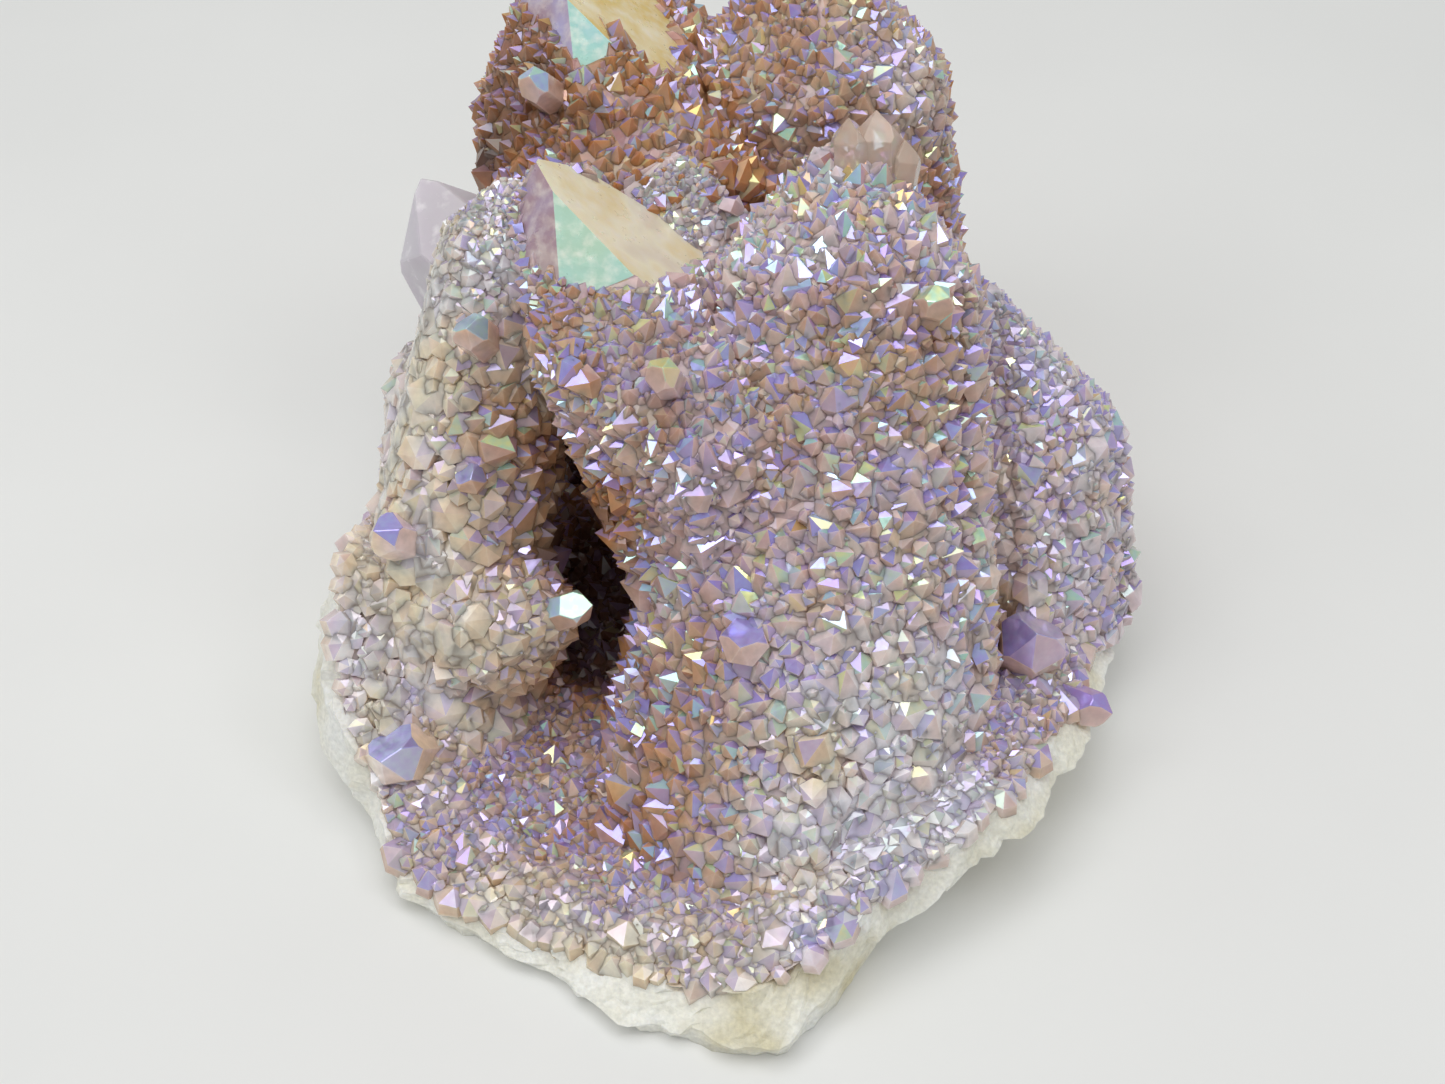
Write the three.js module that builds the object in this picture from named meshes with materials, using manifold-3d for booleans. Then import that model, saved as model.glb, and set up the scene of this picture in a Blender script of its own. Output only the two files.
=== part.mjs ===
// Aura spirit quartz cluster: tapering quartz points, each wearing a crust of small crystals, grown into
// one another on a broken base of milky quartz. Millimetres, +Z up, +Y away from the front. The origin
// lies in the flat face that the base rests on.

import * as THREE from 'three';
import { ConvexGeometry } from 'three/addons/geometries/ConvexGeometry.js';
import { mergeVertices } from 'three/addons/utils/BufferGeometryUtils.js';
import Module from 'manifold-3d';

const wasm = await Module();
wasm.setup();

// ---- Driving dimensions -----------------------------------------------------------------------------

// Quartz always ends in the same pyramid: its face normals lean this far from the crystal's long axis.
const PYRAMID_LEAN = THREE.MathUtils.degToRad(51.8);
// Three faces of the pyramid are broad and meet at the tip; the other three start past it, by this share
// of the crystal's radius.
const MINOR_FACE_SHIFT = 0.18;

// The crust: the width of its facets, how far it wanders from its own depth, and how far it scatters round
// and along, as a share of the width.
const CRUST_PITCH = 7.6;
const CRUST_ROUGHNESS = 0.9;
const CRUST_SCATTER = 0.35;
// On a crystal's flats the crust fills out to this much of a round one's radius.
const CRUST_FULLNESS = 1.08;
// The crust's rings lie closer together towards the tip, by this power; the last stops short of the apex
// by this share of a facet.
const RING_CROWDING = 0.9;
const TOP_RING_SHARE = 0.25;
// The share of the crust's facets that rise to a stud, and the height of one over a facet of full size,
// between these two shares of it. A facet counts as no bigger than a full one by more than the third.
const STUD_SHARE = 0.46;
const STUD_HEIGHT = 2.6;
const STUD_LOWEST = 0.5;
const STUD_TALLEST = 1.3;
const STUD_LARGEST = 1.2;
// How far a stud's apex keeps to the middle of its facet: the higher, the nearer.
const STUD_CENTRING = 0.6;
// A stud's lean towards the tip, as a share of its height.
const STUD_LEAN = 0.35;
// How deep the end of the crust dives into the crystal where the tip is bare, and the least it keeps.
const BARE_DEPTH = 4;
const BARE_CORE = 0.4;
// The lowest that the crust reaches, clear of what the base rests on.
const CRUST_FOOT = 2;

// The druse, the blanket of small crystals between the points: its depth over the rock, the share of that
// left at its edge, how far it overhangs the rock there, and its rings as shares of the way out.
const DRUSE_DEPTH = 3.2;
const DRUSE_EDGE = 0.3;
const DRUSE_OVERHANG = 0.4;
const DRUSE_RINGS = [1.0, 0.9, 0.76, 0.62, 0.48, 0.32, 0.16];
const DRUSE_SEGMENTS = 36;
const DRUSE_SCATTER = 0.3;
// Its foot lies inside the rock, this far in and down from the brim, over a plain plug.
const DRUSE_FOOT = 1.5;
const PLUG_SHARE = 0.75;
const PLUG_DEPTH = 3;

const MATRIX_GAP = 0.35;

// Each spirit point runs from its root, sunk in the base, to the apex of its pyramid. Radii are measured
// to the flats, at the root and at the apex. turn is the angle of the first flat, counted from +X towards
// +Y. crust is the crust's depth. cuts, where the pyramid grew unevenly, tells how much deeper each of its
// faces lies than in an even one, from the face over the first flat on. bare, where a tip stands free of
// crust, is the side it faces, half the width of that side in degrees, and how far down it reaches.
const EVEN_CUTS = [0, 0, 0, 0, 0, 0];
const SPIRIT_POINTS = [
  {
    root: [5.8, 6.4, 9.2], tip: [-10.7, 22.9, 74.2], rootRadius: 8.7, tipRadius: 15.5, turn: -8, crust: 0.3,
    cuts: [14.1, -5.8, -3.9, -1.9, 4.9, 14.1], bare: { side: 305, halfWidth: 100, reach: 12.6 },
  },
  {
    root: [1, 31.5, 28.9], tip: [-7.2, 31.4, 66], rootRadius: 5.4, tipRadius: 5.3, turn: 57, crust: 0.8,
    cuts: [2.4, -0.4, -4, 5.8, 10, 5.4],
  },
  { root: [8, -5, -4], tip: [14.5, 32, 63.5], rootRadius: 21, tipRadius: 9.5, turn: 0, crust: 1.2 },
  { root: [32, 17, -6], tip: [28.5, 34, 42], rootRadius: 15.5, tipRadius: 12, turn: 10, crust: 1.2 },
  {
    root: [7.8, 38.8, -6.9], tip: [-15.6, 56.4, 75.2], rootRadius: 19.7, tipRadius: 15.6, turn: -8, crust: 0.8,
    cuts: [7.8, -3.1, -3.1, 0, 1.6, 5.7], bare: { side: 315, halfWidth: 80, reach: 12.5 },
  },
  { root: [15, 42, -2], tip: [9.5, 59, 71], rootRadius: 16, tipRadius: 11.5, turn: 5, crust: 1.2 },
  { root: [-33, 4, -6], tip: [-21.5, 30.6, 58], rootRadius: 11, tipRadius: 4.5, turn: 20, crust: 1.2 },
  { root: [-32, 20, 2], tip: [-31, 33, 37], rootRadius: 8, tipRadius: 4, turn: 0, crust: 1.2 },
  { root: [-32, 10, 12], tip: [-16, 3, 23], rootRadius: 7, tipRadius: 6, turn: 30, crust: 1.2 },
];

// The smooth point behind on the left, which never grew a crust.
const BARE_POINT = {
  root: [-17, 42, 7], tip: [-36, 58, 39], rootRadius: 7.5, tipRadius: 6.5, turn: 40,
};

// The crystals that stand out from the crust by their size: three clear ones crown the right-hand point,
// the others are scattered over the front.
const LARGE_CRYSTALS = [
  { root: [13.5, 27.5, 59], tip: [13, 29.4, 66.4], radius: 2.2 },
  { root: [16, 28, 59], tip: [15.8, 30, 67], radius: 2.5 },
  { root: [17.5, 27, 58], tip: [18.6, 28.4, 64.4], radius: 1.8 },
  { root: [33, 7, 9], tip: [33.7, 2, 21], radius: 3.6 },
  { root: [3, -3, 24], tip: [1.8, -9.8, 31.5], radius: 2.4 },
  { root: [-33, -3, 6], tip: [-36, -9.5, 13.5], radius: 3.2 },
  { root: [-24, 20, 44], tip: [-25.8, 14.8, 51.5], radius: 2 },
  { root: [-26, 15, 30], tip: [-26.3, 9, 36], radius: 1.7 },
  { root: [-32, 11, 24], tip: [-37, 7, 30.5], radius: 2.3 },
  { root: [-20, 4, 20], tip: [-13.6, 1.5, 25], radius: 1.9 },
  { root: [36, 3, 9], tip: [42, -2.5, 11.5], radius: 2 },
  { root: [-5, 10, 47], tip: [-6, 4.2, 54.5], radius: 1.7 },
  { root: [-17.7, 45.2, 57.6], tip: [-20.3, 39, 64.5], radius: 1.8 },
  { root: [18, 18, 51], tip: [22, 11.5, 57], radius: 1.7 },
];
// Each is turned this much further than the last, and narrows and is cut by these shares of its radius.
const LARGE_CRYSTAL_TURN = 20;
const LARGE_CRYSTAL_TAPER = 0.9;
const LARGE_CRYSTAL_CUT = 0.25;

// The broken base, as seen from above: for each direction round its middle, how far it reaches where it
// stands, at its widest, and at the brim where the crust begins, with the heights of the last two and
// the height of the rock half way in.
const BASE_MIDDLE = [0, 8];
const BASE_STATIONS = [
  { angle: 0, foot: 33, wide: 43, wideHeight: 7, brim: 40, brimHeight: 10, innerHeight: 11 },
  { angle: 15, foot: 41, wide: 48.5, wideHeight: 5, brim: 46, brimHeight: 9, innerHeight: 12 },
  { angle: 35, foot: 43, wide: 50, wideHeight: 5, brim: 47, brimHeight: 9, innerHeight: 12 },
  { angle: 52, foot: 44, wide: 50, wideHeight: 6, brim: 47, brimHeight: 11, innerHeight: 14 },
  { angle: 70, foot: 49, wide: 54, wideHeight: 5, brim: 51, brimHeight: 9, innerHeight: 14 },
  { angle: 92, foot: 49, wide: 53, wideHeight: 6, brim: 49, brimHeight: 10, innerHeight: 13 },
  { angle: 120, foot: 46, wide: 51, wideHeight: 8, brim: 46, brimHeight: 11, innerHeight: 9 },
  { angle: 150, foot: 42, wide: 46, wideHeight: 9, brim: 41, brimHeight: 17, innerHeight: 5 },
  { angle: 180, foot: 41, wide: 45.5, wideHeight: 10, brim: 40.5, brimHeight: 24, innerHeight: 6 },
  { angle: 195, foot: 42, wide: 44.5, wideHeight: 5, brim: 42, brimHeight: 13, innerHeight: 4 },
  { angle: 204, foot: 40, wide: 42, wideHeight: 3, brim: 40.5, brimHeight: 7, innerHeight: 2.5 },
  { angle: 217, foot: 41.5, wide: 43, wideHeight: 2, brim: 41.5, brimHeight: 4, innerHeight: 2.2 },
  { angle: 230, foot: 40, wide: 41.5, wideHeight: 2, brim: 39.5, brimHeight: 3.5, innerHeight: 2 },
  { angle: 245, foot: 39, wide: 40, wideHeight: 2, brim: 37.5, brimHeight: 3.5, innerHeight: 3 },
  { angle: 264, foot: 43, wide: 44, wideHeight: 2, brim: 40, brimHeight: 4, innerHeight: 5 },
  { angle: 277, foot: 44, wide: 45, wideHeight: 3, brim: 40.5, brimHeight: 6, innerHeight: 7 },
  { angle: 294, foot: 37, wide: 38.5, wideHeight: 6, brim: 37, brimHeight: 11, innerHeight: 9 },
  { angle: 309, foot: 32, wide: 38, wideHeight: 9, brim: 36, brimHeight: 12, innerHeight: 10 },
  { angle: 335, foot: 29, wide: 40, wideHeight: 9, brim: 37, brimHeight: 12, innerHeight: 11 },
];
const BASE_CENTRE_HEIGHT = 7;
const BASE_SEGMENTS = 48;
const BASE_ROUGHNESS = 0.9;
const INNER_SHARE = 0.5;

// ---- Materials --------------------------------------------------------------------------------------

const crustMaterial = new THREE.MeshStandardMaterial({ color: 0xab9ba6, roughness: 0.2, metalness: 0.15 });
const bareMaterial = new THREE.MeshStandardMaterial({ color: 0xb9b2c0, roughness: 0.15, metalness: 0.1 });
const matrixMaterial = new THREE.MeshStandardMaterial({ color: 0xc9c4b2, roughness: 0.75, metalness: 0 });

// ---- Helpers ----------------------------------------------------------------------------------------

// A repeatable stream of numbers from 0 to 1.
function seededRandom(seed) {
  let state = seed;
  return () => {
    state = (state + 0x6d2b79f5) | 0;
    let mixed = Math.imul(state ^ (state >>> 15), 1 | state);
    mixed = (mixed + Math.imul(mixed ^ (mixed >>> 7), 61 | mixed)) ^ mixed;
    return ((mixed ^ (mixed >>> 14)) >>> 0) / 4294967296;
  };
}

function solidOf(geometry) {
  geometry.deleteAttribute('normal');
  geometry.deleteAttribute('uv');
  const merged = mergeVertices(geometry, 1e-5);
  const vertProperties = new Float32Array(merged.attributes.position.array);
  const triVerts = new Uint32Array(merged.index.array);
  return new wasm.Manifold(new wasm.Mesh({ numProp: 3, vertProperties, triVerts }));
}

function geometryOf(solid) {
  const mesh = solid.getMesh();
  const geometry = new THREE.BufferGeometry();
  geometry.setAttribute('position', new THREE.BufferAttribute(mesh.vertProperties, 3));
  geometry.setIndex(new THREE.BufferAttribute(mesh.triVerts, 1));
  return geometry;
}

function largestBody(solid) {
  return solid.decompose().reduce((best, body) => (body.volume() > best.volume() ? body : best));
}

// ---- Quartz crystals --------------------------------------------------------------------------------

// A crystal in its own frame, root at the origin and apex on +Z, as the planes that bound it: six flats
// and, over each, one face of the pyramid. Every plane is { normal, reach }, reach from the origin.
function crystalPlanes({ length, rootRadius, tipRadius, turn, cuts = EVEN_CUTS, grow = 0 }) {
  const taper = (rootRadius - tipRadius) / length;
  const planes = [{ normal: new THREE.Vector3(0, 0, -1), reach: grow }];
  for (let face = 0; face < 6; face += 1) {
    const angle = THREE.MathUtils.degToRad(turn + 60 * face);
    const outward = new THREE.Vector3(Math.cos(angle), Math.sin(angle), 0);
    const flat = outward.clone().setZ(taper).normalize();
    planes.push({ normal: flat, reach: flat.dot(outward) * rootRadius + grow });
    const tipFace = outward.clone().multiplyScalar(Math.sin(PYRAMID_LEAN)).setZ(Math.cos(PYRAMID_LEAN));
    const start = length + (face % 2) * MINOR_FACE_SHIFT * tipRadius;
    planes.push({ normal: tipFace, reach: tipFace.z * start - cuts[face] + grow });
  }
  return planes;
}

// The corners of the solid inside a set of planes: the meeting points of three planes that no other
// plane cuts off.
function crystalCorners(planes) {
  const corners = [];
  const rows = new THREE.Matrix3();
  for (let i = 0; i < planes.length; i += 1) {
    for (let j = i + 1; j < planes.length; j += 1) {
      for (let k = j + 1; k < planes.length; k += 1) {
        const [a, b, c] = [planes[i], planes[j], planes[k]];
        rows.set(...a.normal.toArray(), ...b.normal.toArray(), ...c.normal.toArray());
        if (Math.abs(rows.determinant()) > 1e-6) {
          const corner = new THREE.Vector3(a.reach, b.reach, c.reach).applyMatrix3(rows.clone().invert());
          const inside = planes.every((plane) => plane.normal.dot(corner) < plane.reach + 1e-6);
          const fresh = corners.every((other) => other.distanceTo(corner) > 1e-4);
          if (inside && fresh) corners.push(corner);
        }
      }
    }
  }
  return corners;
}

// How far the crystal reaches, level, from a point inside it.
function crystalRadius(planes, angle, centre) {
  const outward = new THREE.Vector3(Math.cos(angle), Math.sin(angle), 0);
  const reaches = planes
    .filter((plane) => plane.normal.dot(outward) > 0.1)
    .map((plane) => (plane.reach - plane.normal.dot(centre)) / plane.normal.dot(outward));
  return Math.max(Math.min(...reaches), 0);
}

// From a crystal's own frame to the cluster's: the axis runs from root to tip, local X stays to the right.
function crystalPose({ root, tip }) {
  const axis = new THREE.Vector3(...tip).sub(new THREE.Vector3(...root)).normalize();
  const back = axis.clone().cross(new THREE.Vector3(1, 0, 0)).normalize();
  const right = back.clone().cross(axis);
  return new THREE.Matrix4().makeBasis(right, back, axis).setPosition(...root);
}

function crystalLength({ root, tip }) {
  return new THREE.Vector3(...root).distanceTo(new THREE.Vector3(...tip));
}

function crystalSolid(crystal, grow = 0) {
  const planes = crystalPlanes({ ...crystal, length: crystalLength(crystal), grow });
  return solidOf(new ConvexGeometry(crystalCorners(planes)).applyMatrix4(crystalPose(crystal)));
}

function largeCrystalSolid({ root, tip, radius }, index) {
  const turn = LARGE_CRYSTAL_TURN * index;
  const cuts = [LARGE_CRYSTAL_CUT * radius, ...EVEN_CUTS.slice(1)];
  const tipRadius = LARGE_CRYSTAL_TAPER * radius;
  return crystalSolid({ root, tip, rootRadius: radius, tipRadius, turn, cuts });
}

// ---- Crust ------------------------------------------------------------------------------------------

// A closed skin through rings of points, listed from the root up. Each small triangle between the rings
// may rise to a three-sided stud, as the tips of the crust's crystals do, leaning towards lean. The lowest
// plainLevels bands stay flat.
function studdedSkin(rings, lean, random, plainLevels = 0) {
  const positions = [];
  const addTriangle = (...corners) => corners.forEach((corner) => positions.push(...corner.toArray()));
  const addFacet = (level, a, b, c) => {
    if (level < plainLevels || random() > STUD_SHARE) {
      addTriangle(a, b, c);
      return;
    }
    const normal = b.clone().sub(a).cross(c.clone().sub(a));
    const area = normal.length() / 2;
    const weights = [random(), random(), random()].map((weight) => STUD_CENTRING + weight);
    const total = weights[0] + weights[1] + weights[2];
    const apex = a.clone().multiplyScalar(weights[0] / total)
      .addScaledVector(b, weights[1] / total)
      .addScaledVector(c, weights[2] / total);
    const fullArea = CRUST_PITCH * CRUST_PITCH / 2;
    const size = Math.min(Math.sqrt(area / fullArea), STUD_LARGEST);
    const height = STUD_HEIGHT * THREE.MathUtils.lerp(STUD_LOWEST, STUD_TALLEST, random()) * size;
    apex.addScaledVector(normal.normalize(), height).addScaledVector(lean, STUD_LEAN * height);
    addTriangle(a, b, apex);
    addTriangle(b, c, apex);
    addTriangle(c, a, apex);
  };
  const count = rings[0].length;
  for (let level = 0; level + 1 < rings.length; level += 1) {
    for (let step = 0; step < count; step += 1) {
      const next = (step + 1) % count;
      const [a, b] = [rings[level][step], rings[level][next]];
      const [d, c] = [rings[level + 1][step], rings[level + 1][next]];
      if ((level + step) % 2 === 0) {
        addFacet(level, a, b, c);
        addFacet(level, a, c, d);
      } else {
        addFacet(level, a, b, d);
        addFacet(level, b, c, d);
      }
    }
  }
  for (const [ring, turnRound] of [[rings[0], true], [rings[rings.length - 1], false]]) {
    const middle = ring.reduce((sum, point) => sum.add(point), new THREE.Vector3()).divideScalar(count);
    for (let step = 0; step < count; step += 1) {
      const pair = [ring[step], ring[(step + 1) % count]];
      if (turnRound) pair.reverse();
      addTriangle(...pair, middle);
    }
  }
  const geometry = new THREE.BufferGeometry();
  geometry.setAttribute('position', new THREE.Float32BufferAttribute(positions, 3));
  return geometry;
}

// Whether the crust leaves the crystal bare, at an angle round it and a depth below its apex.
function isBare(bare, angle, belowApex) {
  if (!bare || belowApex > bare.reach) return false;
  const turned = THREE.MathUtils.radToDeg(angle) - bare.side + 180;
  return Math.abs(THREE.MathUtils.euclideanModulo(turned, 360) - 180) < bare.halfWidth;
}

// The crust of one spirit point follows the crystal under it, filled out a little on its flats. Its rings
// climb round the line from the middle of the root to the apex.
function crustSolid(point, random) {
  const length = crystalLength(point);
  const planes = crystalPlanes({ ...point, length });
  const apex = crystalCorners(planes).reduce((best, corner) => (corner.z > best.z ? corner : best));
  const girth = Math.PI * (point.rootRadius + point.tipRadius + 2 * point.crust);
  const steps = Math.round(girth / CRUST_PITCH);
  const climb = apex.z + 0.4 * point.tipRadius;
  const levels = Math.round(climb / CRUST_PITCH) + 1;
  const topShare = 1 - (TOP_RING_SHARE * CRUST_PITCH) / apex.z;
  const flats = [0, 60, 120, 180, 240, 300].map((flat) => THREE.MathUtils.degToRad(point.turn + flat));
  const rings = [];
  for (let level = 0; level < levels; level += 1) {
    const centre = apex.clone().multiplyScalar(topShare * (level / (levels - 1)) ** RING_CROWDING);
    const round = Math.min(...flats.map((flat) => crystalRadius(planes, flat, centre)));
    const ring = [];
    for (let step = 0; step < steps; step += 1) {
      const turned = step + CRUST_SCATTER * (random() - 0.5) + 0.5 * (level % 2);
      const angle = (2 * Math.PI * turned) / steps;
      const sharp = crystalRadius(planes, angle, centre);
      const filled = Math.max(sharp, CRUST_FULLNESS * round);
      const crusted = filled + point.crust + CRUST_ROUGHNESS * (random() - 0.5);
      const sunk = Math.max(sharp - BARE_DEPTH, BARE_CORE);
      const reach = isBare(point.bare, angle, apex.z - centre.z) ? sunk : crusted;
      const lift = level === 0 ? 0 : CRUST_ROUGHNESS * (random() - 0.5);
      const offset = new THREE.Vector3(reach * Math.cos(angle), reach * Math.sin(angle), lift);
      ring.push(offset.add(centre));
    }
    rings.push(ring);
  }
  const geometry = studdedSkin(rings, new THREE.Vector3(0, 0, 1), random);
  return solidOf(geometry.applyMatrix4(crystalPose(point)));
}

// ---- Base -------------------------------------------------------------------------------------------

// The base at one angle in degrees, blended from the two stations on either side of it.
function baseStation(angle) {
  const following = Math.max(BASE_STATIONS.findIndex((station) => station.angle > angle), 0);
  const [after, before] = [BASE_STATIONS[following], BASE_STATIONS.at(following - 1)];
  const span = THREE.MathUtils.euclideanModulo(after.angle - before.angle, 360);
  const share = (angle - before.angle) / span;
  const blended = {};
  for (const key of Object.keys(before)) {
    blended[key] = THREE.MathUtils.lerp(before[key], after[key], share);
  }
  return blended;
}

function basePoint(angle, radius, height) {
  const [x, y] = BASE_MIDDLE;
  return new THREE.Vector3(x + radius * Math.cos(angle), y + radius * Math.sin(angle), height);
}

// The rock of the base, grown on every side by grow, as a closed stack of rings.
function matrixSolid(grow) {
  const random = seededRandom(31);
  const rough = () => BASE_ROUGHNESS * (random() - 0.5) * 2;
  const rings = [[], [], [], []];
  for (let step = 0; step < BASE_SEGMENTS; step += 1) {
    const degrees = (360 * step) / BASE_SEGMENTS;
    const station = baseStation(degrees);
    const angle = THREE.MathUtils.degToRad(degrees);
    const inner = INNER_SHARE * station.brim;
    rings[0].push(basePoint(angle, station.foot + rough() + grow, -grow));
    rings[1].push(basePoint(angle, station.wide + rough() + grow, station.wideHeight));
    rings[2].push(basePoint(angle, station.brim + rough() + grow, station.brimHeight + grow));
    rings[3].push(basePoint(angle, inner, station.innerHeight + 0.5 * rough() + grow));
  }
  const positions = [];
  const addTriangle = (...corners) => corners.forEach((corner) => positions.push(...corner.toArray()));
  const bottom = basePoint(0, 0, -grow);
  const top = basePoint(0, 0, BASE_CENTRE_HEIGHT + grow);
  for (let step = 0; step < BASE_SEGMENTS; step += 1) {
    const next = (step + 1) % BASE_SEGMENTS;
    addTriangle(bottom, rings[0][next], rings[0][step]);
    addTriangle(top, rings[3][step], rings[3][next]);
    for (let level = 0; level < 3; level += 1) {
      const [a, b] = [rings[level][step], rings[level][next]];
      const [d, c] = [rings[level + 1][step], rings[level + 1][next]];
      addTriangle(a, b, c);
      addTriangle(a, c, d);
    }
  }
  const geometry = new THREE.BufferGeometry();
  geometry.setAttribute('position', new THREE.Float32BufferAttribute(positions, 3));
  return solidOf(geometry);
}

// The height of the rock at a share of the way from the base's middle to its brim.
function rockHeight(station, share) {
  if (share < INNER_SHARE) {
    return THREE.MathUtils.lerp(BASE_CENTRE_HEIGHT, station.innerHeight, share / INNER_SHARE);
  }
  const outwardShare = (share - INNER_SHARE) / (1 - INNER_SHARE);
  return THREE.MathUtils.lerp(station.innerHeight, station.brimHeight, outwardShare);
}

// The druse. Under the rock's surface it runs on down as a plain plug, which the rock then takes the
// place of.
function druseSolid(random) {
  const plug = [];
  const foot = [];
  const rings = DRUSE_RINGS.map(() => []);
  DRUSE_RINGS.forEach((share, level) => {
    for (let step = 0; step < DRUSE_SEGMENTS; step += 1) {
      const turned = step + 0.5 * (level % 2) + DRUSE_SCATTER * (random() - 0.5);
      const degrees = (360 * turned) / DRUSE_SEGMENTS;
      const station = baseStation(THREE.MathUtils.euclideanModulo(degrees, 360));
      const angle = THREE.MathUtils.degToRad(degrees);
      const rock = rockHeight(station, share);
      const cover = level === 0 ? DRUSE_EDGE * DRUSE_DEPTH : DRUSE_DEPTH;
      const height = rock + cover + 0.5 * (random() - 0.5);
      rings[level].push(basePoint(angle, station.brim * share + DRUSE_OVERHANG, height));
      if (level === 0) {
        plug.push(basePoint(angle, PLUG_SHARE * station.foot, -PLUG_DEPTH));
        foot.push(basePoint(angle, station.brim - DRUSE_FOOT, rock - DRUSE_FOOT));
      }
    }
  });
  return solidOf(studdedSkin([plug, foot, ...rings], new THREE.Vector3(0, 0, 1), random, 1));
}

// All the room under the lowest edge of the crust.
function groundSolid() {
  const [width, depth] = [400, 100];
  return solidOf(new THREE.BoxGeometry(width, width, depth).translate(0, 0, CRUST_FOOT - depth / 2));
}

// ---- The cluster ------------------------------------------------------------------------------------

const random = seededRandom(7);
const points = SPIRIT_POINTS.flatMap((point) => [crystalSolid(point), crustSolid(point, random)]);
const growths = [...points, ...LARGE_CRYSTALS.map(largeCrystalSolid)];
const grownTogether = growths.reduce((all, solid) => all.add(solid), druseSolid(random));
const aboveMatrix = grownTogether.subtract(matrixSolid(MATRIX_GAP)).subtract(groundSolid());
const aroundBarePoint = aboveMatrix.subtract(crystalSolid(BARE_POINT, MATRIX_GAP));

function subcomponent(name, solid, material) {
  const mesh = new THREE.Mesh(geometryOf(largestBody(solid)), material);
  mesh.name = name;
  return mesh;
}

const cluster = new THREE.Group();
cluster.add(
  subcomponent('matrix', matrixSolid(0), matrixMaterial),
  subcomponent('spirit_points', aroundBarePoint, crustMaterial),
  subcomponent('bare_point', crystalSolid(BARE_POINT).subtract(matrixSolid(MATRIX_GAP)), bareMaterial),
);

export default cluster;
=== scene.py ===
import math
from itertools import combinations

import bmesh
import bpy
import numpy as np
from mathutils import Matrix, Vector
from numpy.linalg import norm


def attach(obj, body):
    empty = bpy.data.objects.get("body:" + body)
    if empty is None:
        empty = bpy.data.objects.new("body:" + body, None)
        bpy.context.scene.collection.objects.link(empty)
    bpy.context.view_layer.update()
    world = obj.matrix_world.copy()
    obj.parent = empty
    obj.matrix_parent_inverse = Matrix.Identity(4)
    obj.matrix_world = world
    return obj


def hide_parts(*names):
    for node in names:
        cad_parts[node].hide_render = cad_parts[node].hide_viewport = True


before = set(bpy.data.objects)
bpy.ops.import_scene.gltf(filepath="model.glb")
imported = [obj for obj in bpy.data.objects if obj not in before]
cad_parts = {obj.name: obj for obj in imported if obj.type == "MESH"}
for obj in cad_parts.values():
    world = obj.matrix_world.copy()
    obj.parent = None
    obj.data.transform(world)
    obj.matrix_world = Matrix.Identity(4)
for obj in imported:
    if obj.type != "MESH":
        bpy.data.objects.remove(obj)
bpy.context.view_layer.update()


# ---- Camera -----------------------------------------------------------------------------------------
# A 50 mm lens looks down on the cluster at 45 degrees, from straight in front and a hand's length away,
# so the rear points stand at the top edge of the frame.

CAMERA_PLACE = (0, -0.1419, 0.1775)
CAMERA_LEAN = math.radians(45)
LENS_LENGTH = 50
SENSOR_WIDTH = 36



def add_object(name, data):
    """An object in the scene."""
    made = bpy.data.objects.new(name, data)
    bpy.context.collection.objects.link(made)
    return made


camera = add_object("camera", bpy.data.cameras.new("camera"))
camera.data.lens = LENS_LENGTH
camera.data.sensor_width = SENSOR_WIDTH
camera.data.clip_start = 0.005
camera.location = CAMERA_PLACE
camera.rotation_euler = (CAMERA_LEAN, 0, 0)
bpy.context.scene.camera = camera
bpy.context.scene.view_settings.view_transform = "Standard"


# ---- Base rock --------------------------------------------------------------------------------------
# A piece of milky quartz broken from the wall of a vein, cream with a little yellow stain. It is flat
# underneath, and its sides show rough fractures. Everything else has grown on its upper side.

MM = 0.001
BASE_MIDDLE = np.array([0, 8])
# One row for each direction: angle, foot, widest reach and its height, brim and its height, and the
# height of the rock half way in.
BASE_STATIONS = np.array([
    [0, 33, 43, 7, 40, 10, 11],
    [15, 41, 48.5, 5, 46, 9, 12],
    [35, 43, 50, 5, 47, 9, 12],
    [52, 44, 50, 6, 47, 11, 14],
    [70, 49, 54, 5, 51, 9, 14],
    [92, 49, 53, 6, 49, 10, 13],
    [120, 46, 51, 8, 46, 11, 9],
    [150, 42, 46, 9, 41, 17, 5],
    [180, 41, 45.5, 10, 40.5, 24, 6],
    [195, 42, 44.5, 5, 42, 13, 4],
    [204, 40, 42, 3, 40.5, 7, 2.5],
    [217, 41.5, 43, 2, 41.5, 4, 2.2],
    [230, 40, 41.5, 2, 39.5, 3.5, 2],
    [245, 39, 40, 2, 37.5, 3.5, 3],
    [264, 43, 44, 2, 40, 4, 5],
    [277, 44, 45, 3, 40.5, 6, 7],
    [294, 37, 38.5, 6, 37, 11, 9],
    [309, 32, 38, 9, 36, 12, 10],
    [335, 29, 40, 9, 37, 12, 11],
])
BASE_CENTRE_HEIGHT = 7
# The rings of the rock's skin: shares of the foot underneath, and how many go up each half of the wall,
# inwards over the top and to its middle.
BASE_STEPS = 260
UNDERSIDE_RINGS = (0.25, 0.5, 0.75, 0.93)
WALL_RINGS = 6
TOP_RINGS = 19
MIDDLE_RINGS = 8
# The fractures: how strongly they show on the wall and on the top, the chips' size, slope and depth, how
# many places are worked out at a time, and the waves of a swell.
WALL_RELIEF = 0.85
TOP_RELIEF = 0.6
PLACES_A_CHIP = 40
CHIP_TILT = 0.22
CHIP_DEPTH = 1.3
CHIP_BATCH = 2000
WAVE_COUNT = 16
WAVE_PACE = 3.6
CREAM_QUARTZ = (0.87, 0.85, 0.74)
WHITE_QUARTZ = (0.95, 0.95, 0.91)
IRON_STAIN = (0.72, 0.66, 0.46)


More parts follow.
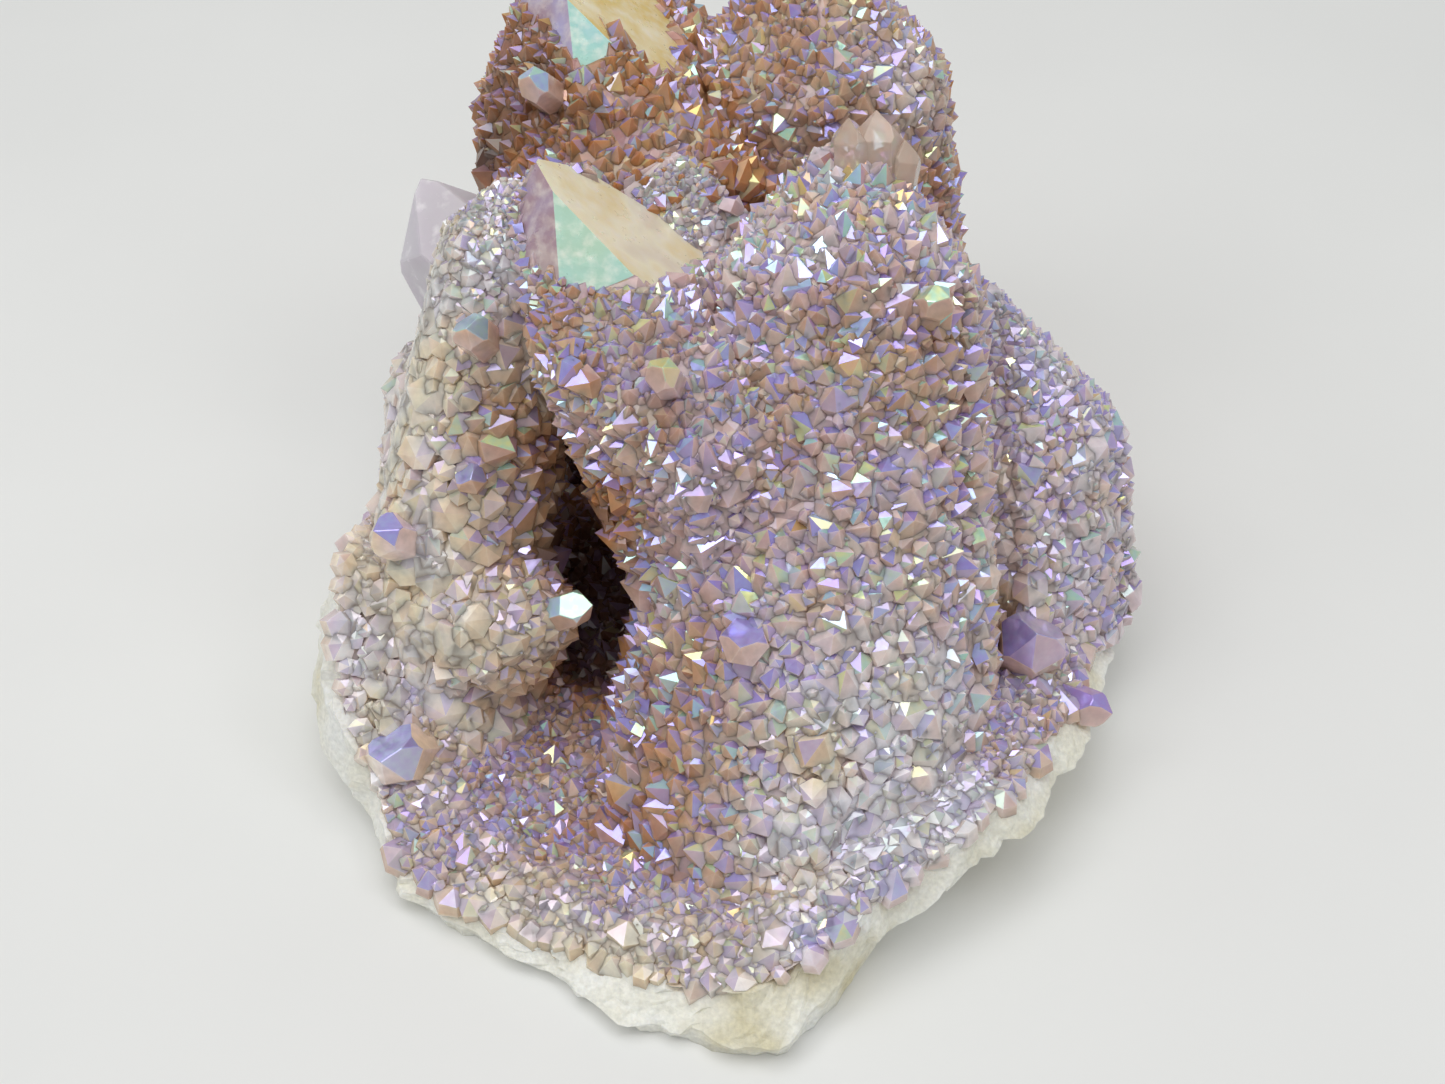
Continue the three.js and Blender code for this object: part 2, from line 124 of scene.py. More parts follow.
def base_station(degrees):
    """Foot, widest reach, its height, brim, its height and the height half way in, for each angle."""
    columns = BASE_STATIONS[:, 1:].T
    return [np.interp(degrees, BASE_STATIONS[:, 0], column, period=360) for column in columns]


def lumps(places, size, seed):
    """A gentle random swell from about -1 to 1, with humps about size apart."""
    waves = np.random.default_rng(seed)
    directions = waves.normal(size=(WAVE_COUNT, 3)) * WAVE_PACE / size
    starts = waves.uniform(0, math.tau, WAVE_COUNT)
    return np.cos(places @ directions.T + starts).sum(1) / math.sqrt(WAVE_COUNT)


def chips(places, seed):
    """The depth of the flat chips that a break leaves, each tilted its own way."""
    random = np.random.default_rng(seed)
    middles = places[random.choice(len(places), len(places) // PLACES_A_CHIP, replace=False)]
    slopes = random.normal(0, CHIP_TILT, middles.shape)
    depth = np.zeros(len(places))
    for start in range(0, len(places), CHIP_BATCH):
        part = places[start:start + CHIP_BATCH]
        away = part[:, None] - middles[None]
        near = np.argmin((away ** 2).sum(2), 1)
        row = np.arange(len(part))
        depth[start:start + CHIP_BATCH] = (away[row, near] * slopes[near]).sum(1)
    return np.clip(depth, -CHIP_DEPTH, CHIP_DEPTH)


def new_piece(name, vertices, faces):
    """A mesh object from vertices in millimetres."""
    mesh = bpy.data.meshes.new(name)
    mesh.from_pydata((np.asarray(vertices) * MM).tolist(), [], faces)
    mesh.update()
    return add_object(name, mesh)


def ring_faces(rows, steps):
    """Quads between closed rings of vertices that follow one another."""
    row, step = np.meshgrid(np.arange(rows - 1), np.arange(steps), indexing="ij")
    here, after = row * steps + step, row * steps + (step + 1) % steps
    return np.stack([here, after, after + steps, here + steps], -1).reshape(-1, 4).tolist()


def add_node(tree, kind, links=(), **values):
    """A shader node. links fills its sockets with outputs or numbers, and values are its own settings."""
    node = tree.nodes.new(kind)
    for key, value in values.items():
        setattr(node, key, value)
    for socket, source in dict(links).items():
        if isinstance(source, bpy.types.NodeSocket):
            tree.links.new(source, node.inputs[socket])
        else:
            node.inputs[socket].default_value = source
    return node


def noise_of(tree, size, detail=3.0):
    """Noise in the part's own space, its grains about size millimetres across."""
    place = add_node(tree, "ShaderNodeTexCoord").outputs["Object"]
    links = {"Vector": place, "Scale": 1 / (size * MM), "Detail": detail}
    return add_node(tree, "ShaderNodeTexNoise", links).outputs["Fac"]


def blend_of(tree, share, first, second):
    """A mix of two colours."""
    node = add_node(tree, "ShaderNodeMix", data_type="RGBA")
    for socket, source in ((0, share), (6, first), (7, second)):
        if isinstance(source, bpy.types.NodeSocket):
            tree.links.new(source, node.inputs[socket])
        else:
            node.inputs[socket].default_value = source if socket == 0 else (*source, 1)
    return node.outputs[2]


def range_of(tree, source, low, high, to_low=0.0, to_high=1.0):
    """A value spread from one range to another, and held at its ends."""
    links = {"Value": source, "From Min": low, "From Max": high, "To Min": to_low, "To Max": to_high}
    return add_node(tree, "ShaderNodeMapRange", links).outputs["Result"]


def mottle_of(tree, size, low, high, detail=3.0):
    """Noise that runs from low to high, its grains about size millimetres across."""
    return range_of(tree, noise_of(tree, size, detail), 0.3, 0.7, low, high)


def product_of(tree, first, second):
    """Two colours multiplied."""
    return add_node(tree, "ShaderNodeVectorMath", {0: first, 1: second}, operation="MULTIPLY").outputs[0]


def bump_of(tree, height, strength, depth):
    """A relief too fine for the mesh, depth millimetres deep."""
    links = {"Height": height, "Strength": strength, "Distance": depth * MM}
    return add_node(tree, "ShaderNodeBump", links).outputs["Normal"]


def new_material(name):
    """A material, its node tree and its surface shader."""
    material = bpy.data.materials.new(name)
    material.use_nodes = True
    return material, material.node_tree, material.node_tree.nodes["Principled BSDF"]


def let_light_in(shader, weight, colour, depth):
    """Light enters the quartz, and comes out again about depth millimetres away."""
    shader.inputs["Subsurface Weight"].default_value = weight
    shader.inputs["Subsurface Radius"].default_value = colour
    shader.inputs["Subsurface Scale"].default_value = depth * MM


turns = np.arange(BASE_STEPS) * 360 / BASE_STEPS
foot, wide, wide_height, brim, brim_height, inner_height = base_station(turns)
around = np.stack([np.cos(np.radians(turns)), np.sin(np.radians(turns))], 1)
profile = []
for share in UNDERSIDE_RINGS:
    profile.append((foot * share, np.zeros(BASE_STEPS)))
for share in np.linspace(0, 1, WALL_RINGS + 1)[:-1]:
    profile.append((foot + (wide - foot) * share, wide_height * share))
for share in np.linspace(0, 1, WALL_RINGS + 1)[:-1]:
    profile.append((wide + (brim - wide) * share, wide_height + (brim_height - wide_height) * share))
for share in np.linspace(0, 1, TOP_RINGS + 1)[:-1]:
    profile.append((brim * (1 - share / 2), brim_height + (inner_height - brim_height) * share))
for share in np.linspace(0, 0.9, MIDDLE_RINGS):
    profile.append((brim / 2 * (1 - share), inner_height + (BASE_CENTRE_HEIGHT - inner_height) * share))
rock = np.concatenate([
    np.column_stack([BASE_MIDDLE + around * reach[:, None], height]) for reach, height in profile
])

outward = np.tile(np.column_stack([around, np.zeros(BASE_STEPS)]), (len(profile), 1))
relief = chips(rock, 3) + 0.5 * lumps(rock, 9, 4) + 0.22 * lumps(rock, 1.6, 5)
ring = np.repeat(np.arange(len(profile)), BASE_STEPS)
underneath = ring < len(UNDERSIDE_RINGS)
brim_ring = len(UNDERSIDE_RINGS) + 2 * WALL_RINGS
on_wall = ~underneath & (ring <= brim_ring)
rock[on_wall] += outward[on_wall] * relief[on_wall, None] * WALL_RELIEF
rock[ring >= brim_ring, 2] += TOP_RELIEF * relief[ring >= brim_ring]
rock[:, 2] = np.maximum(rock[:, 2], 0)
rock[underneath, 2] = 0

rock = np.concatenate([rock, [[*BASE_MIDDLE, 0], [*BASE_MIDDLE, BASE_CENTRE_HEIGHT]]])
last_ring = (len(profile) - 1) * BASE_STEPS
rock_faces = ring_faces(len(profile), BASE_STEPS)
for step in range(BASE_STEPS):
    after = (step + 1) % BASE_STEPS
    rock_faces.append((after, step, len(rock) - 2))
    rock_faces.append((last_ring + step, last_ring + after, len(rock) - 1))
base_rock = new_piece("base_rock", rock, rock_faces)

milky_quartz, tree, shader = new_material("milky quartz")
cream = blend_of(tree, range_of(tree, noise_of(tree, 7), 0.35, 0.65), CREAM_QUARTZ, WHITE_QUARTZ)
stained = blend_of(tree, range_of(tree, noise_of(tree, 11, 4), 0.52, 0.72), cream, IRON_STAIN)
grain = mottle_of(tree, 0.5, 0.86, 1.04, 2)
tree.links.new(product_of(tree, stained, grain), shader.inputs["Base Color"])
tree.links.new(mottle_of(tree, 2.5, 0.45, 0.75), shader.inputs["Roughness"])
tree.links.new(bump_of(tree, noise_of(tree, 0.9, 5), 0.5, 0.6), shader.inputs["Normal"])
let_light_in(shader, 0.3, (1, 0.9, 0.7), 2)
shader.inputs["IOR"].default_value = 1.54
base_rock.data.materials.append(milky_quartz)

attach(base_rock, "root")
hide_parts("matrix")


# ---- Spirit points ----------------------------------------------------------------------------------
# Seven big quartz points, a shoulder and a knob, grown from the rock and into one another. A second growth
# has crusted them with small six-sided crystals, and a metal vapour fired onto those gives each facet its
# own tint: violet, blue and mint, or gold near the tips. The tint is painted strongest on facets turned to
# mirror the overhead light towards the front, as a painted reflection. Iron in the crust shows brown, and
# the crystals' feet and the skin between them are painted darker and browner as painted crease shade.

# Quartz: how far the faces of a pyramid lean from level, and how much farther out every other one lies.
PYRAMID_LEAN = math.radians(51.8)
MINOR_FACE_SHIFT = 0.18
QUARTZ_IOR = 1.55
# The crust: its depth, how it rounds the crystal's edges, its lowest height, how deep it ends under a bare
# face, how ragged its edge is there, and how deep in another growth a crystal is left out.
CRUST_DEPTH = 0.7
CRUST_FULLNESS = 1.08
CRUST_FOOT = 2.0
BARE_DEPTH = 4.0
BARE_EDGE_RAGGED = 0.5
HIDDEN_DEPTH = 0.2

# radii are those at the root and at the foot of the pyramid, and cuts is what each of its faces has lost.
# width is that of the crust's crystals at the root, near the tip and at the tip. bare, where a tip stands
# free of crust, is how far down from the apex, at each angle round it. look is the warmth, milk and gold of
# the crust: how brown it is, how cloudy, and how far its tints run to gold and mint.
SPIRIT_POINTS = {
    "front_point": dict(
        root=(5.8, 6.4, 9.2), tip=(-10.7, 22.9, 74.2), radii=(8.7, 15.5), turn=-8,
        cuts=(14.1, -5.8, -3.9, -1.9, 4.9, 14.1),
        width=(2.5, 1.9, 1.0), look=(0.27, 0.15, 0.3),
        bare=[
            (12, 14.6), (30, 15.1), (41, 15.3), (56, 9), (66, 1.5), (120, 0.6), (190, 1.2), (209, 3.6),
            (228, 7.2), (260, 8), (264, 9.1), (290, 10.7), (306, 10.3), (318, 11.6), (348, 14.1),
        ],
    ),
    "leaning_point": dict(
        root=(8, -5, -4), tip=(14.5, 32, 63.5), radii=(21, 9.5), turn=0,
        width=(2.6, 2.3, 1.7), look=(0.3, 0.16, 0.3),
    ),
    "right_point": dict(
        root=(32, 17, -6), tip=(28.5, 34, 42), radii=(15.5, 12), turn=10,
        width=(2.4, 2.1, 1.7), look=(0.1, 0.45, 0.2),
    ),
    "rear_point": dict(
        root=(7.8, 38.8, -6.9), tip=(-15.6, 56.4, 75.2), radii=(19.7, 15.6), turn=-8,
        cuts=(7.8, -3.1, -3.1, 0, 1.6, 5.7),
        width=(2.6, 2.3, 1.8), look=(0.98, 0.0, 0.4),
        bare=[
            (13, 11.6), (37, 9.9), (60, 3), (200, 2), (229, 3.9), (247, 4.7), (264, 6.2), (272, 7.8),
            (276, 9.7), (285, 9.7), (294, 8.3), (301, 7.2), (306, 12.3), (318, 14), (344, 13.6),
        ],
    ),
    "rear_right_point": dict(
        root=(15, 42, -2), tip=(9.5, 59, 71), radii=(16, 11.5), turn=5,
        width=(2.6, 2.2, 1.8), look=(0.8, 0.06, 0.15),
    ),
    "left_point": dict(
        root=(-33, 4, -6), tip=(-21.5, 30.6, 58), radii=(11, 4.5), turn=20,
        width=(3.8, 2.8, 1.0), look=(0.36, 0.68, 0.4),
    ),
    "left_rear_point": dict(
        root=(-32, 20, 2), tip=(-31, 33, 37), radii=(8, 4), turn=0,
        width=(3.4, 3.0, 2.0), look=(0.2, 0.8, 0.3),
    ),
    "left_knob": dict(
        root=(-32, 10, 12), tip=(-16, 3, 23), radii=(7, 6), turn=30,
        width=(3.4, 2.6, 1.8), look=(0.38, 0.65, 0.3),
    ),
    "front_shoulder": dict(
        root=(1, 31.5, 28.9), tip=(-7.2, 31.4, 66), radii=(5.4, 5.3), turn=57,
        cuts=(2.4, -0.4, -4, 5.8, 10, 5.4),
        width=(2.0, 1.5, 1.1), look=(0.1, 0.45, 0.9),
    ),
}
# Where the crust changes: centre, reach, and what is added to warmth, milk and gold there. Some of them
# paint
# shade as extra warmth: in the pit and the hollow behind it, and on the slope under the front point.
CRUST_PATCHES = [
    ((-19, 13, 55), 5, 0.45, 0, 0),
    ((-13, 10, 55.5), 5, 0.45, 0, 0),
    ((-8, 11, 55.5), 5, 0.35, 0, 0),
    ((-17, 7, 50), 6, 0.4, 0, 0),
    ((-3, -8, 24), 6, 0.3, -0.1, 0),
    ((-6, -12, 15.5), 7, 0.32, -0.1, 0),
    ((-7, -19, 10), 7, 0.3, -0.1, 0),
    ((-1, -25, 9), 6, 0.25, 0, 0),
    ((8, -16, 21), 5, 0.35, 0.1, 0),
    ((30, 7, 20), 7, 0.4, 0.1, 0.2),
    ((14, 8, 52), 9, 0.3, 0, 0),
    ((22, 8, 50), 7, 0.2, 0, 0.2),
    ((-2, 6, 38), 8, -0.15, 0, -0.1),
    ((17, -10, 23), 13, -0.2, 0.62, 0.2),
    ((10, -22, 13), 10, -0.2, 0.6, 0.1),
    ((-20, 15, 33), 8, 0.35, -0.3, -0.2),
    ((-24, 15, 40), 6, 0.3, -0.3, 0),
    ((-27, 7, 24), 6, 0.15, 0.1, 0),
    ((-24, -22, 4), 7, 0.15, 0.4, -0.2),
    ((-15, -27, 4), 8, 0.15, 0.4, -0.2),
    ((-10, -34, 3), 8, 0.05, 0.6, -0.2),
    ((2, -35, 5), 7, 0, 0.5, -0.1),
    ((24, -20, 9), 8, -0.1, 0.6, 0),
    ((-38, -8, 9), 7, 0.05, 0.5, -0.2),
    ((-14, -3, 8), 9, 0.0, 0.1, -0.3),
    # Painted shade: the deep pit between the left growth and the front point, and the hollow behind it, near
    # black.
    ((-14, 17, 11), 9, 2.0, -1.0, -0.8),
    ((-14, 8, 11), 7, 1.2, -0.6, -0.6),
    ((-16, 12, 21), 8, 0.9, -0.5, -0.6),
    ((-19, 30, 14), 8, 0.8, -0.4, -0.4),
    # Painted shade on the slope under the front point's overhang.
    ((-10.5, 6, 36), 5, 0.7, -0.3, -0.5),
    ((-13, 10, 33), 6, 0.6, -0.3, -0.5),
    ((-15, -10, 7), 11, 0.55, -0.1, -0.3),
    ((-24, 47, 59), 9, 0.4, -0.2, -0.2),
    ((-12, 14, 32), 6, 0.5, -0.3, -0.3),
    ((-42, 1, 14), 10, 0, 1.2, -0.2),
    ((-40, 10, 24), 7, 0, 1.0, -0.2),
    ((-36, 18, 35), 7, 0, 0.9, -0.1),
    ((-32, 25, 46), 7, -0.1, 0.5, 0.2),
    ((-24, 25, 55), 6, -0.25, 0, 0.6),
    ((21, 47, 60), 8, -0.5, 0.4, 0),
    ((2, 23, 58), 7, -0.2, 0.2, 0.6),
    ((-6, 22, 62), 6, -0.3, 0.2, 0.6),
    ((6, 42, 70), 12, -0.1, 0, 0.5),
    ((13, 26, 62), 7, -0.1, 0, 0.6),
]
# The vapour's colours in the order that its film thickens: gold, rose, violet, blue, mint and lemon.
TINT_STOPS = [
    (0.0, (0.86, 0.62, 0.22)),
    (0.14, (0.85, 0.52, 0.38)),
    (0.28, (0.58, 0.38, 0.66)),
    (0.42, (0.44, 0.34, 0.86)),
    (0.56, (0.47, 0.47, 0.97)),
    (0.72, (0.50, 0.71, 0.92)),
    (0.86, (0.52, 0.86, 0.68)),
    (1.0, (0.90, 0.92, 0.42)),
]


def unit(vectors):
    """The same directions, each of length one."""
    return vectors / norm(vectors, axis=-1, keepdims=True)


def crystal_planes(length, root_radius, tip_radius, turn, cuts):
    """The planes that bound a crystal standing on its root: their normals, and their reach."""
    taper = (root_radius - tip_radius) / length
    normals, reaches = [(0, 0, -1)], [0]
    for face in range(6):
        angle = math.radians(turn + 60 * face)
        across = np.array([math.cos(angle), math.sin(angle), 0])
        flat = unit(across + (0, 0, taper))
        normals.append(flat)
        reaches.append(flat @ across * root_radius)
        tip_face = across * math.sin(PYRAMID_LEAN) + (0, 0, math.cos(PYRAMID_LEAN))
        start = length + (face % 2) * MINOR_FACE_SHIFT * tip_radius
        normals.append(tip_face)
        reaches.append(tip_face[2] * start - cuts[face])
    return np.array(normals), np.array(reaches)


def crystal_corners(planes):
    """The corners of the crystal that its planes bound."""
    normals, reaches = planes
    corners = []
    for trio in map(list, combinations(range(len(normals)), 3)):
        if abs(np.linalg.det(normals[trio])) < 1e-6:
            continue
        corner = np.linalg.solve(normals[trio], reaches[trio])
        new = all(norm(corner - other) > 1e-4 for other in corners)
        if new and (normals @ corner < reaches + 1e-6).all():
            corners.append(corner)
    return np.array(corners)


def crystal_shape(root, tip, radii, turn, cuts=(0, 0, 0, 0, 0, 0)):
    """A crystal's planes, its pose and its root. The pose has its right, back and axis as columns."""
    along = np.subtract(tip, root).astype(float)
    axis = unit(along)
    back = unit(np.cross(axis, (1, 0, 0)))
    planes = crystal_planes(float(norm(along)), *radii, turn, cuts)
    return planes, np.stack([np.cross(back, axis), back, axis], 1), np.array(root, float)


def level_reach(planes, centres, angles):
    """How far a crystal reaches from points inside it, square to its axis and at an angle each."""
    normals, reaches = planes
    across = np.stack([np.cos(angles), np.sin(angles), np.zeros_like(angles)], -1)
    toward = across @ normals.T
    room = reaches - centres @ normals.T
    return np.maximum(np.where(toward > 0.1, room / np.maximum(toward, 0.1), np.inf).min(-1), 0)


def set_up(point):
    """Adds a spirit point's planes, apex and pose to its values."""
    given = {key: point[key] for key in ("root", "tip", "radii", "turn", "cuts") if key in point}
    planes, pose, root = crystal_shape(**given)
    corners = crystal_corners(planes)
    point.update(planes=planes, pose=pose, root=root, apex=corners[corners[:, 2].argmax()])


def in_bare_zone(point, shares, angles, margin=0.0):
    """Whether the crust leaves the crystal bare there. The zone's edge is ragged."""
    if "bare" not in point:
        return np.zeros(len(shares), bool)
    reach = np.interp(np.degrees(angles) % 360, *np.transpose(sorted(point["bare"])), period=360)
    ragged = lumps(np.stack([8 * np.cos(angles), 8 * np.sin(angles), 20 * shares], 1), 1.1, 8)
    below = (1 - shares) * point["apex"][2]
    return below < reach + BARE_EDGE_RAGGED * ragged - margin


def fully_crusted(point):
    """The same point with no bare tip."""
    return {key: value for key, value in point.items() if key != "bare"}


def crust_places(point, shares, angles):
    """Points of the crust's skin, at shares of the line from root to apex and angles round it."""
    centres = shares[:, None] * point["apex"]
    sharp = level_reach(point["planes"], centres, angles)
    flats = np.radians(point["turn"] + 60 * np.arange(6))
    rounds = np.min([
        level_reach(point["planes"], centres, np.full(len(shares), flat)) for flat in flats], 0)
    reach = np.maximum(sharp, CRUST_FULLNESS * rounds) + CRUST_DEPTH
    reach = np.where(in_bare_zone(point, shares, angles), np.maximum(sharp - BARE_DEPTH, 0.3), reach)
    across = np.stack([reach * np.cos(angles), reach * np.sin(angles), np.zeros(len(shares))], 1)
    return (centres + across) @ point["pose"].T + point["root"]


def is_inside(point, places):
    """Whether places lie hidden under a spirit point's skin."""
    own = (places - point["root"]) @ point["pose"]
    shares = np.clip(own[:, 2] / point["apex"][2], 0, 1)
    offset = own - shares[:, None] * point["apex"]
    angles = np.arctan2(offset[:, 1], offset[:, 0])
    skin = crust_places(fully_crusted(point), shares, angles)
    skin = (skin - point["root"]) @ point["pose"] - shares[:, None] * point["apex"]
    reach = norm(skin[:, :2], axis=1) - HIDDEN_DEPTH
    return (shares > 0) & (shares < 1) & (norm(offset[:, :2], axis=1) < reach)


def rock_height(x, y):
    """The height of the rock's upper side, or -100 outside its brim."""
    away = np.stack([x, y], -1) - BASE_MIDDLE
    degrees = np.degrees(np.arctan2(away[..., 1], away[..., 0]))
    _, _, _, edge, edge_height, half_height = base_station(degrees)
    share = norm(away, axis=-1) / edge
    inner = BASE_CENTRE_HEIGHT + (half_height - BASE_CENTRE_HEIGHT) * share * 2
    outer = half_height + (edge_height - half_height) * (share * 2 - 1)
    return np.where(share > 1, -100.0, np.where(share < 0.5, inner, outer))


def tuck_in(places, gap):
    """Draws places below the rock's brim in, till they are gap under its face. It returns them, and which
    places lie on or outside the broken sides, where nothing has grown."""
    away = places[:, :2] - BASE_MIDDLE
    reach = norm(away, axis=1)
    at_foot, widest, widest_height, edge, edge_height, _ = base_station(
        np.degrees(np.arctan2(away[:, 1], away[:, 0])))
    lower = at_foot + (widest - at_foot) * np.clip(places[:, 2] / widest_height, 0, 1)
    share = np.clip((places[:, 2] - widest_height) / (edge_height - widest_height), 0, 1)
    room = np.where(places[:, 2] < widest_height, lower, widest + (edge - widest) * share) - gap
    low = places[:, 2] < edge_height - gap
    drawn = BASE_MIDDLE + away * np.where(low, np.minimum(room / reach, 1), 1)[:, None]
    return np.column_stack([drawn, places[:, 2]]), low & (reach > np.minimum(room, edge))


# How the crust's crystals are spread: their pitch as a share of their width, that of the rows as a share of
# the pitch, how far each strays, and how many may share a place where the skin slopes away.
CRYSTAL_PITCH = 0.72
ROW_PITCH = 0.88
STRAY = 0.42
MOST_TOGETHER = 8
LINE_STEPS = 500


def crust_rows(point, random):
    """Rows of places up the crust: the share and angle of each, the width there, and a step each way."""
    smooth = fully_crusted(point)
    fine = np.linspace(0.0, 1 - 0.3 / point["apex"][2], LINE_STEPS)
    rays = np.radians(np.arange(0, 360, 15))
    lines = np.array([crust_places(smooth, fine, np.full(LINE_STEPS, ray)) for ray in rays])
    climbed = np.append(0, np.cumsum(norm(np.diff(lines, axis=1), axis=2).mean(0)))
    girths = norm(lines - np.roll(lines, 1, 0), axis=2).sum(0)
    rows = []
    travelled = 0.0
    while travelled < climbed[-1]:
        share = np.interp(travelled, climbed, fine)
        width = np.interp(share, (0.15, 0.7, 0.97), point["width"])
        pitch = CRYSTAL_PITCH * width
        count = max(int(np.interp(travelled, climbed, girths) / pitch), 3)
        turned = np.arange(count) + random.uniform(0, 1) + random.uniform(-STRAY, STRAY, count)
        climb = np.clip(travelled + random.uniform(-STRAY, STRAY, count) * pitch, 0, climbed[-1])
        share_step = np.interp(travelled + ROW_PITCH * pitch, climbed, fine) - share
        rows.append(np.column_stack([
            np.interp(climb, climbed, fine), turned * math.tau / count,
            np.tile([width, share_step, math.tau / count], (count, 1))]))
        travelled += ROW_PITCH * pitch
    return np.concatenate(rows).T


def crust_sites(point, random):
    """Places for the crust's crystals, with the way that the skin faces and the width of a crystal there."""
    smooth = fully_crusted(point)
    shares, angles, widths, share_steps, angle_steps = crust_rows(point, random)

    # Where the skin slopes away, a step covers more of it, and more crystals share the place.
    here = crust_places(smooth, shares, angles)
    up = norm(crust_places(smooth, np.maximum(shares - share_steps, 0), angles) - here, axis=1)
    across = norm(crust_places(smooth, shares, angles + angle_steps) - here, axis=1)
    needed = up * across / (ROW_PITCH * (CRYSTAL_PITCH * widths) ** 2)
    copies = (needed + random.uniform(0, 1, len(needed))).astype(int)
    order = np.repeat(np.arange(len(copies)), np.clip(copies, 0, MOST_TOGETHER))
    again = np.append(False, order[1:] == order[:-1])
    widths = widths[order]
    shares = shares[order] - again * random.uniform(0, 1, len(order)) * share_steps[order]
    shares = np.maximum(shares, 0)
    angles = angles[order] + again * random.uniform(0, 1, len(order)) * angle_steps[order]

    keep = ~in_bare_zone(point, shares, angles, -0.6)
    shares, angles, widths = shares[keep], angles[keep], widths[keep]
    sites = crust_places(smooth, shares, angles)
    along = crust_places(smooth, np.maximum(shares - 0.012, 0), angles) - sites
    around = crust_places(smooth, shares, angles + 0.03) - crust_places(smooth, shares, angles - 0.03)
    facing = unit(np.cross(along, around))
    outside = ((sites - point["root"]) @ point["pose"] - shares[:, None] * point["apex"]) @ point["pose"].T
    facing *= np.sign((facing * outside).sum(1, keepdims=True))
    return sites, facing, widths


# The shape of a small crystal: how its sides vary, how far its shoulders dip, as a share of its peak, how
# far its apex slips, as a share of its width, and how it flares at the foot.
SIDE_TURN = 0.07
SIDE_REACH = (0.82, 1.15)
SHOULDER_DIP = 0.65
APEX_SLIP = 0.09
FOOT_FLARE = 1.12


def small_crystals(sites, axes, widths, stands, peaks, sunk, random):
    """Vertices and faces of one six-sided crystal a site: six at the foot, six at the shoulder, one apex."""
    count = len(sites)
    helper = np.where(np.abs(axes[:, 2:]) < 0.9, (0, 0, 1), (1, 0, 0))
    right = unit(np.cross(axes, helper))
    back = np.cross(axes, right)
    angles = random.uniform(0, math.pi / 3, (count, 1)) + np.arange(6) * math.pi / 3
    angles = angles + random.normal(0, SIDE_TURN, (count, 6))
    radii = widths[:, None] / 2 * random.uniform(*SIDE_REACH, (count, 6))
    x, y = radii * np.cos(angles), radii * np.sin(angles)
    shoulder = stands[:, None] - peaks[:, None] * random.uniform(0, SHOULDER_DIP, (count, 6))
    slip = random.normal(0, APEX_SLIP, (count, 2)) * widths[:, None]
    local = np.zeros((count, 13, 3))
    local[:, :6] = np.stack([FOOT_FLARE * x, FOOT_FLARE * y, np.repeat(-sunk[:, None], 6, 1)], -1)
    local[:, 6:12] = np.stack([x, y, shoulder], -1)
    local[:, 12] = np.column_stack([slip, stands + peaks])
    frames = np.stack([right, back, axes], 1)
    vertices = (local @ frames + sites[:, None]).reshape(-1, 3)
    first = np.arange(count)[:, None, None] * 13
    side = np.arange(6)
    after = (side + 1) % 6
    tips = (first + np.stack([6 + side, 6 + after, np.full(6, 12)], 1)).reshape(-1, 3).tolist()
    walls = (first + np.stack([side, after, 6 + after, 6 + side], 1)).reshape(-1, 4).tolist()
    feet = (np.arange(count)[:, None] * 13 + np.arange(5, -1, -1)).tolist()
    # How high each vertex stands on its crystal; the material paints the low ones darker as crease shade.
    heights = np.tile([0.0] * 6 + [0.7] * 6 + [1.0], count)
    return vertices, tips + walls + feet, heights


def patch_values(places, warmth, milk, gold):
    """Warmth, milk and gold at each place, from the piece's own values and the patches."""
    values = np.tile([warmth, milk, gold], (len(places), 1)).astype(float)
    for centre, reach, *changes in CRUST_PATCHES:
        away = norm(places - centre, axis=1) / reach
        values += np.exp(-away ** 2)[:, None] * changes
    values[:, 0] += 0.16 * lumps(places, 7, 21)
    values[:, 1] += 0.12 * lumps(places, 9, 22)
    return np.clip(values, 0, (1.5, 1, 1))


def keep_values(mesh, name, domain, values):
    """Keeps three numbers for each point or face of a mesh, for its material to read."""
    layer = mesh.attributes.new(name, "FLOAT_VECTOR", domain)
    layer.data.foreach_set("vector", np.asarray(values, np.float32).ravel())


# The vapour's tint is painted strongest as a painted reflection: on facets turned to mirror the overhead
# light towards the front and above, and a little on facets that face up and back. It starts at a certain
# slant on, and is full a little past that.
GLINT_FACING = (-0.06, -0.34, 0.94)
GLINT_SLANT = 0.62
GLINT_SLANT_BEHIND = 0.66
GLINT_FADE = 0.2
GLINT_SHARE_BEHIND = 0.8
# Tints, as places on the row of colours: violet to blue for most facets, with a share of mint, and high
# up some gold. Each share grows with the crust's own gold. Some facets took a faint or a half tint.
USUAL_TINT = 0.52
TINT_SPREAD = 0.06
MINT_TINTS = (0.68, 1.0)
MINT_SHARES = (0.12, 0.45)
GOLD_TINTS = (0.0, 0.2)
GOLD_SHARES = (0.02, 0.25)
GOLD_HEIGHTS = (45, 70)
FAINT_SHARE = 0.25
HALF_SHARE = 0.5
SKIN_TINT = 0.2


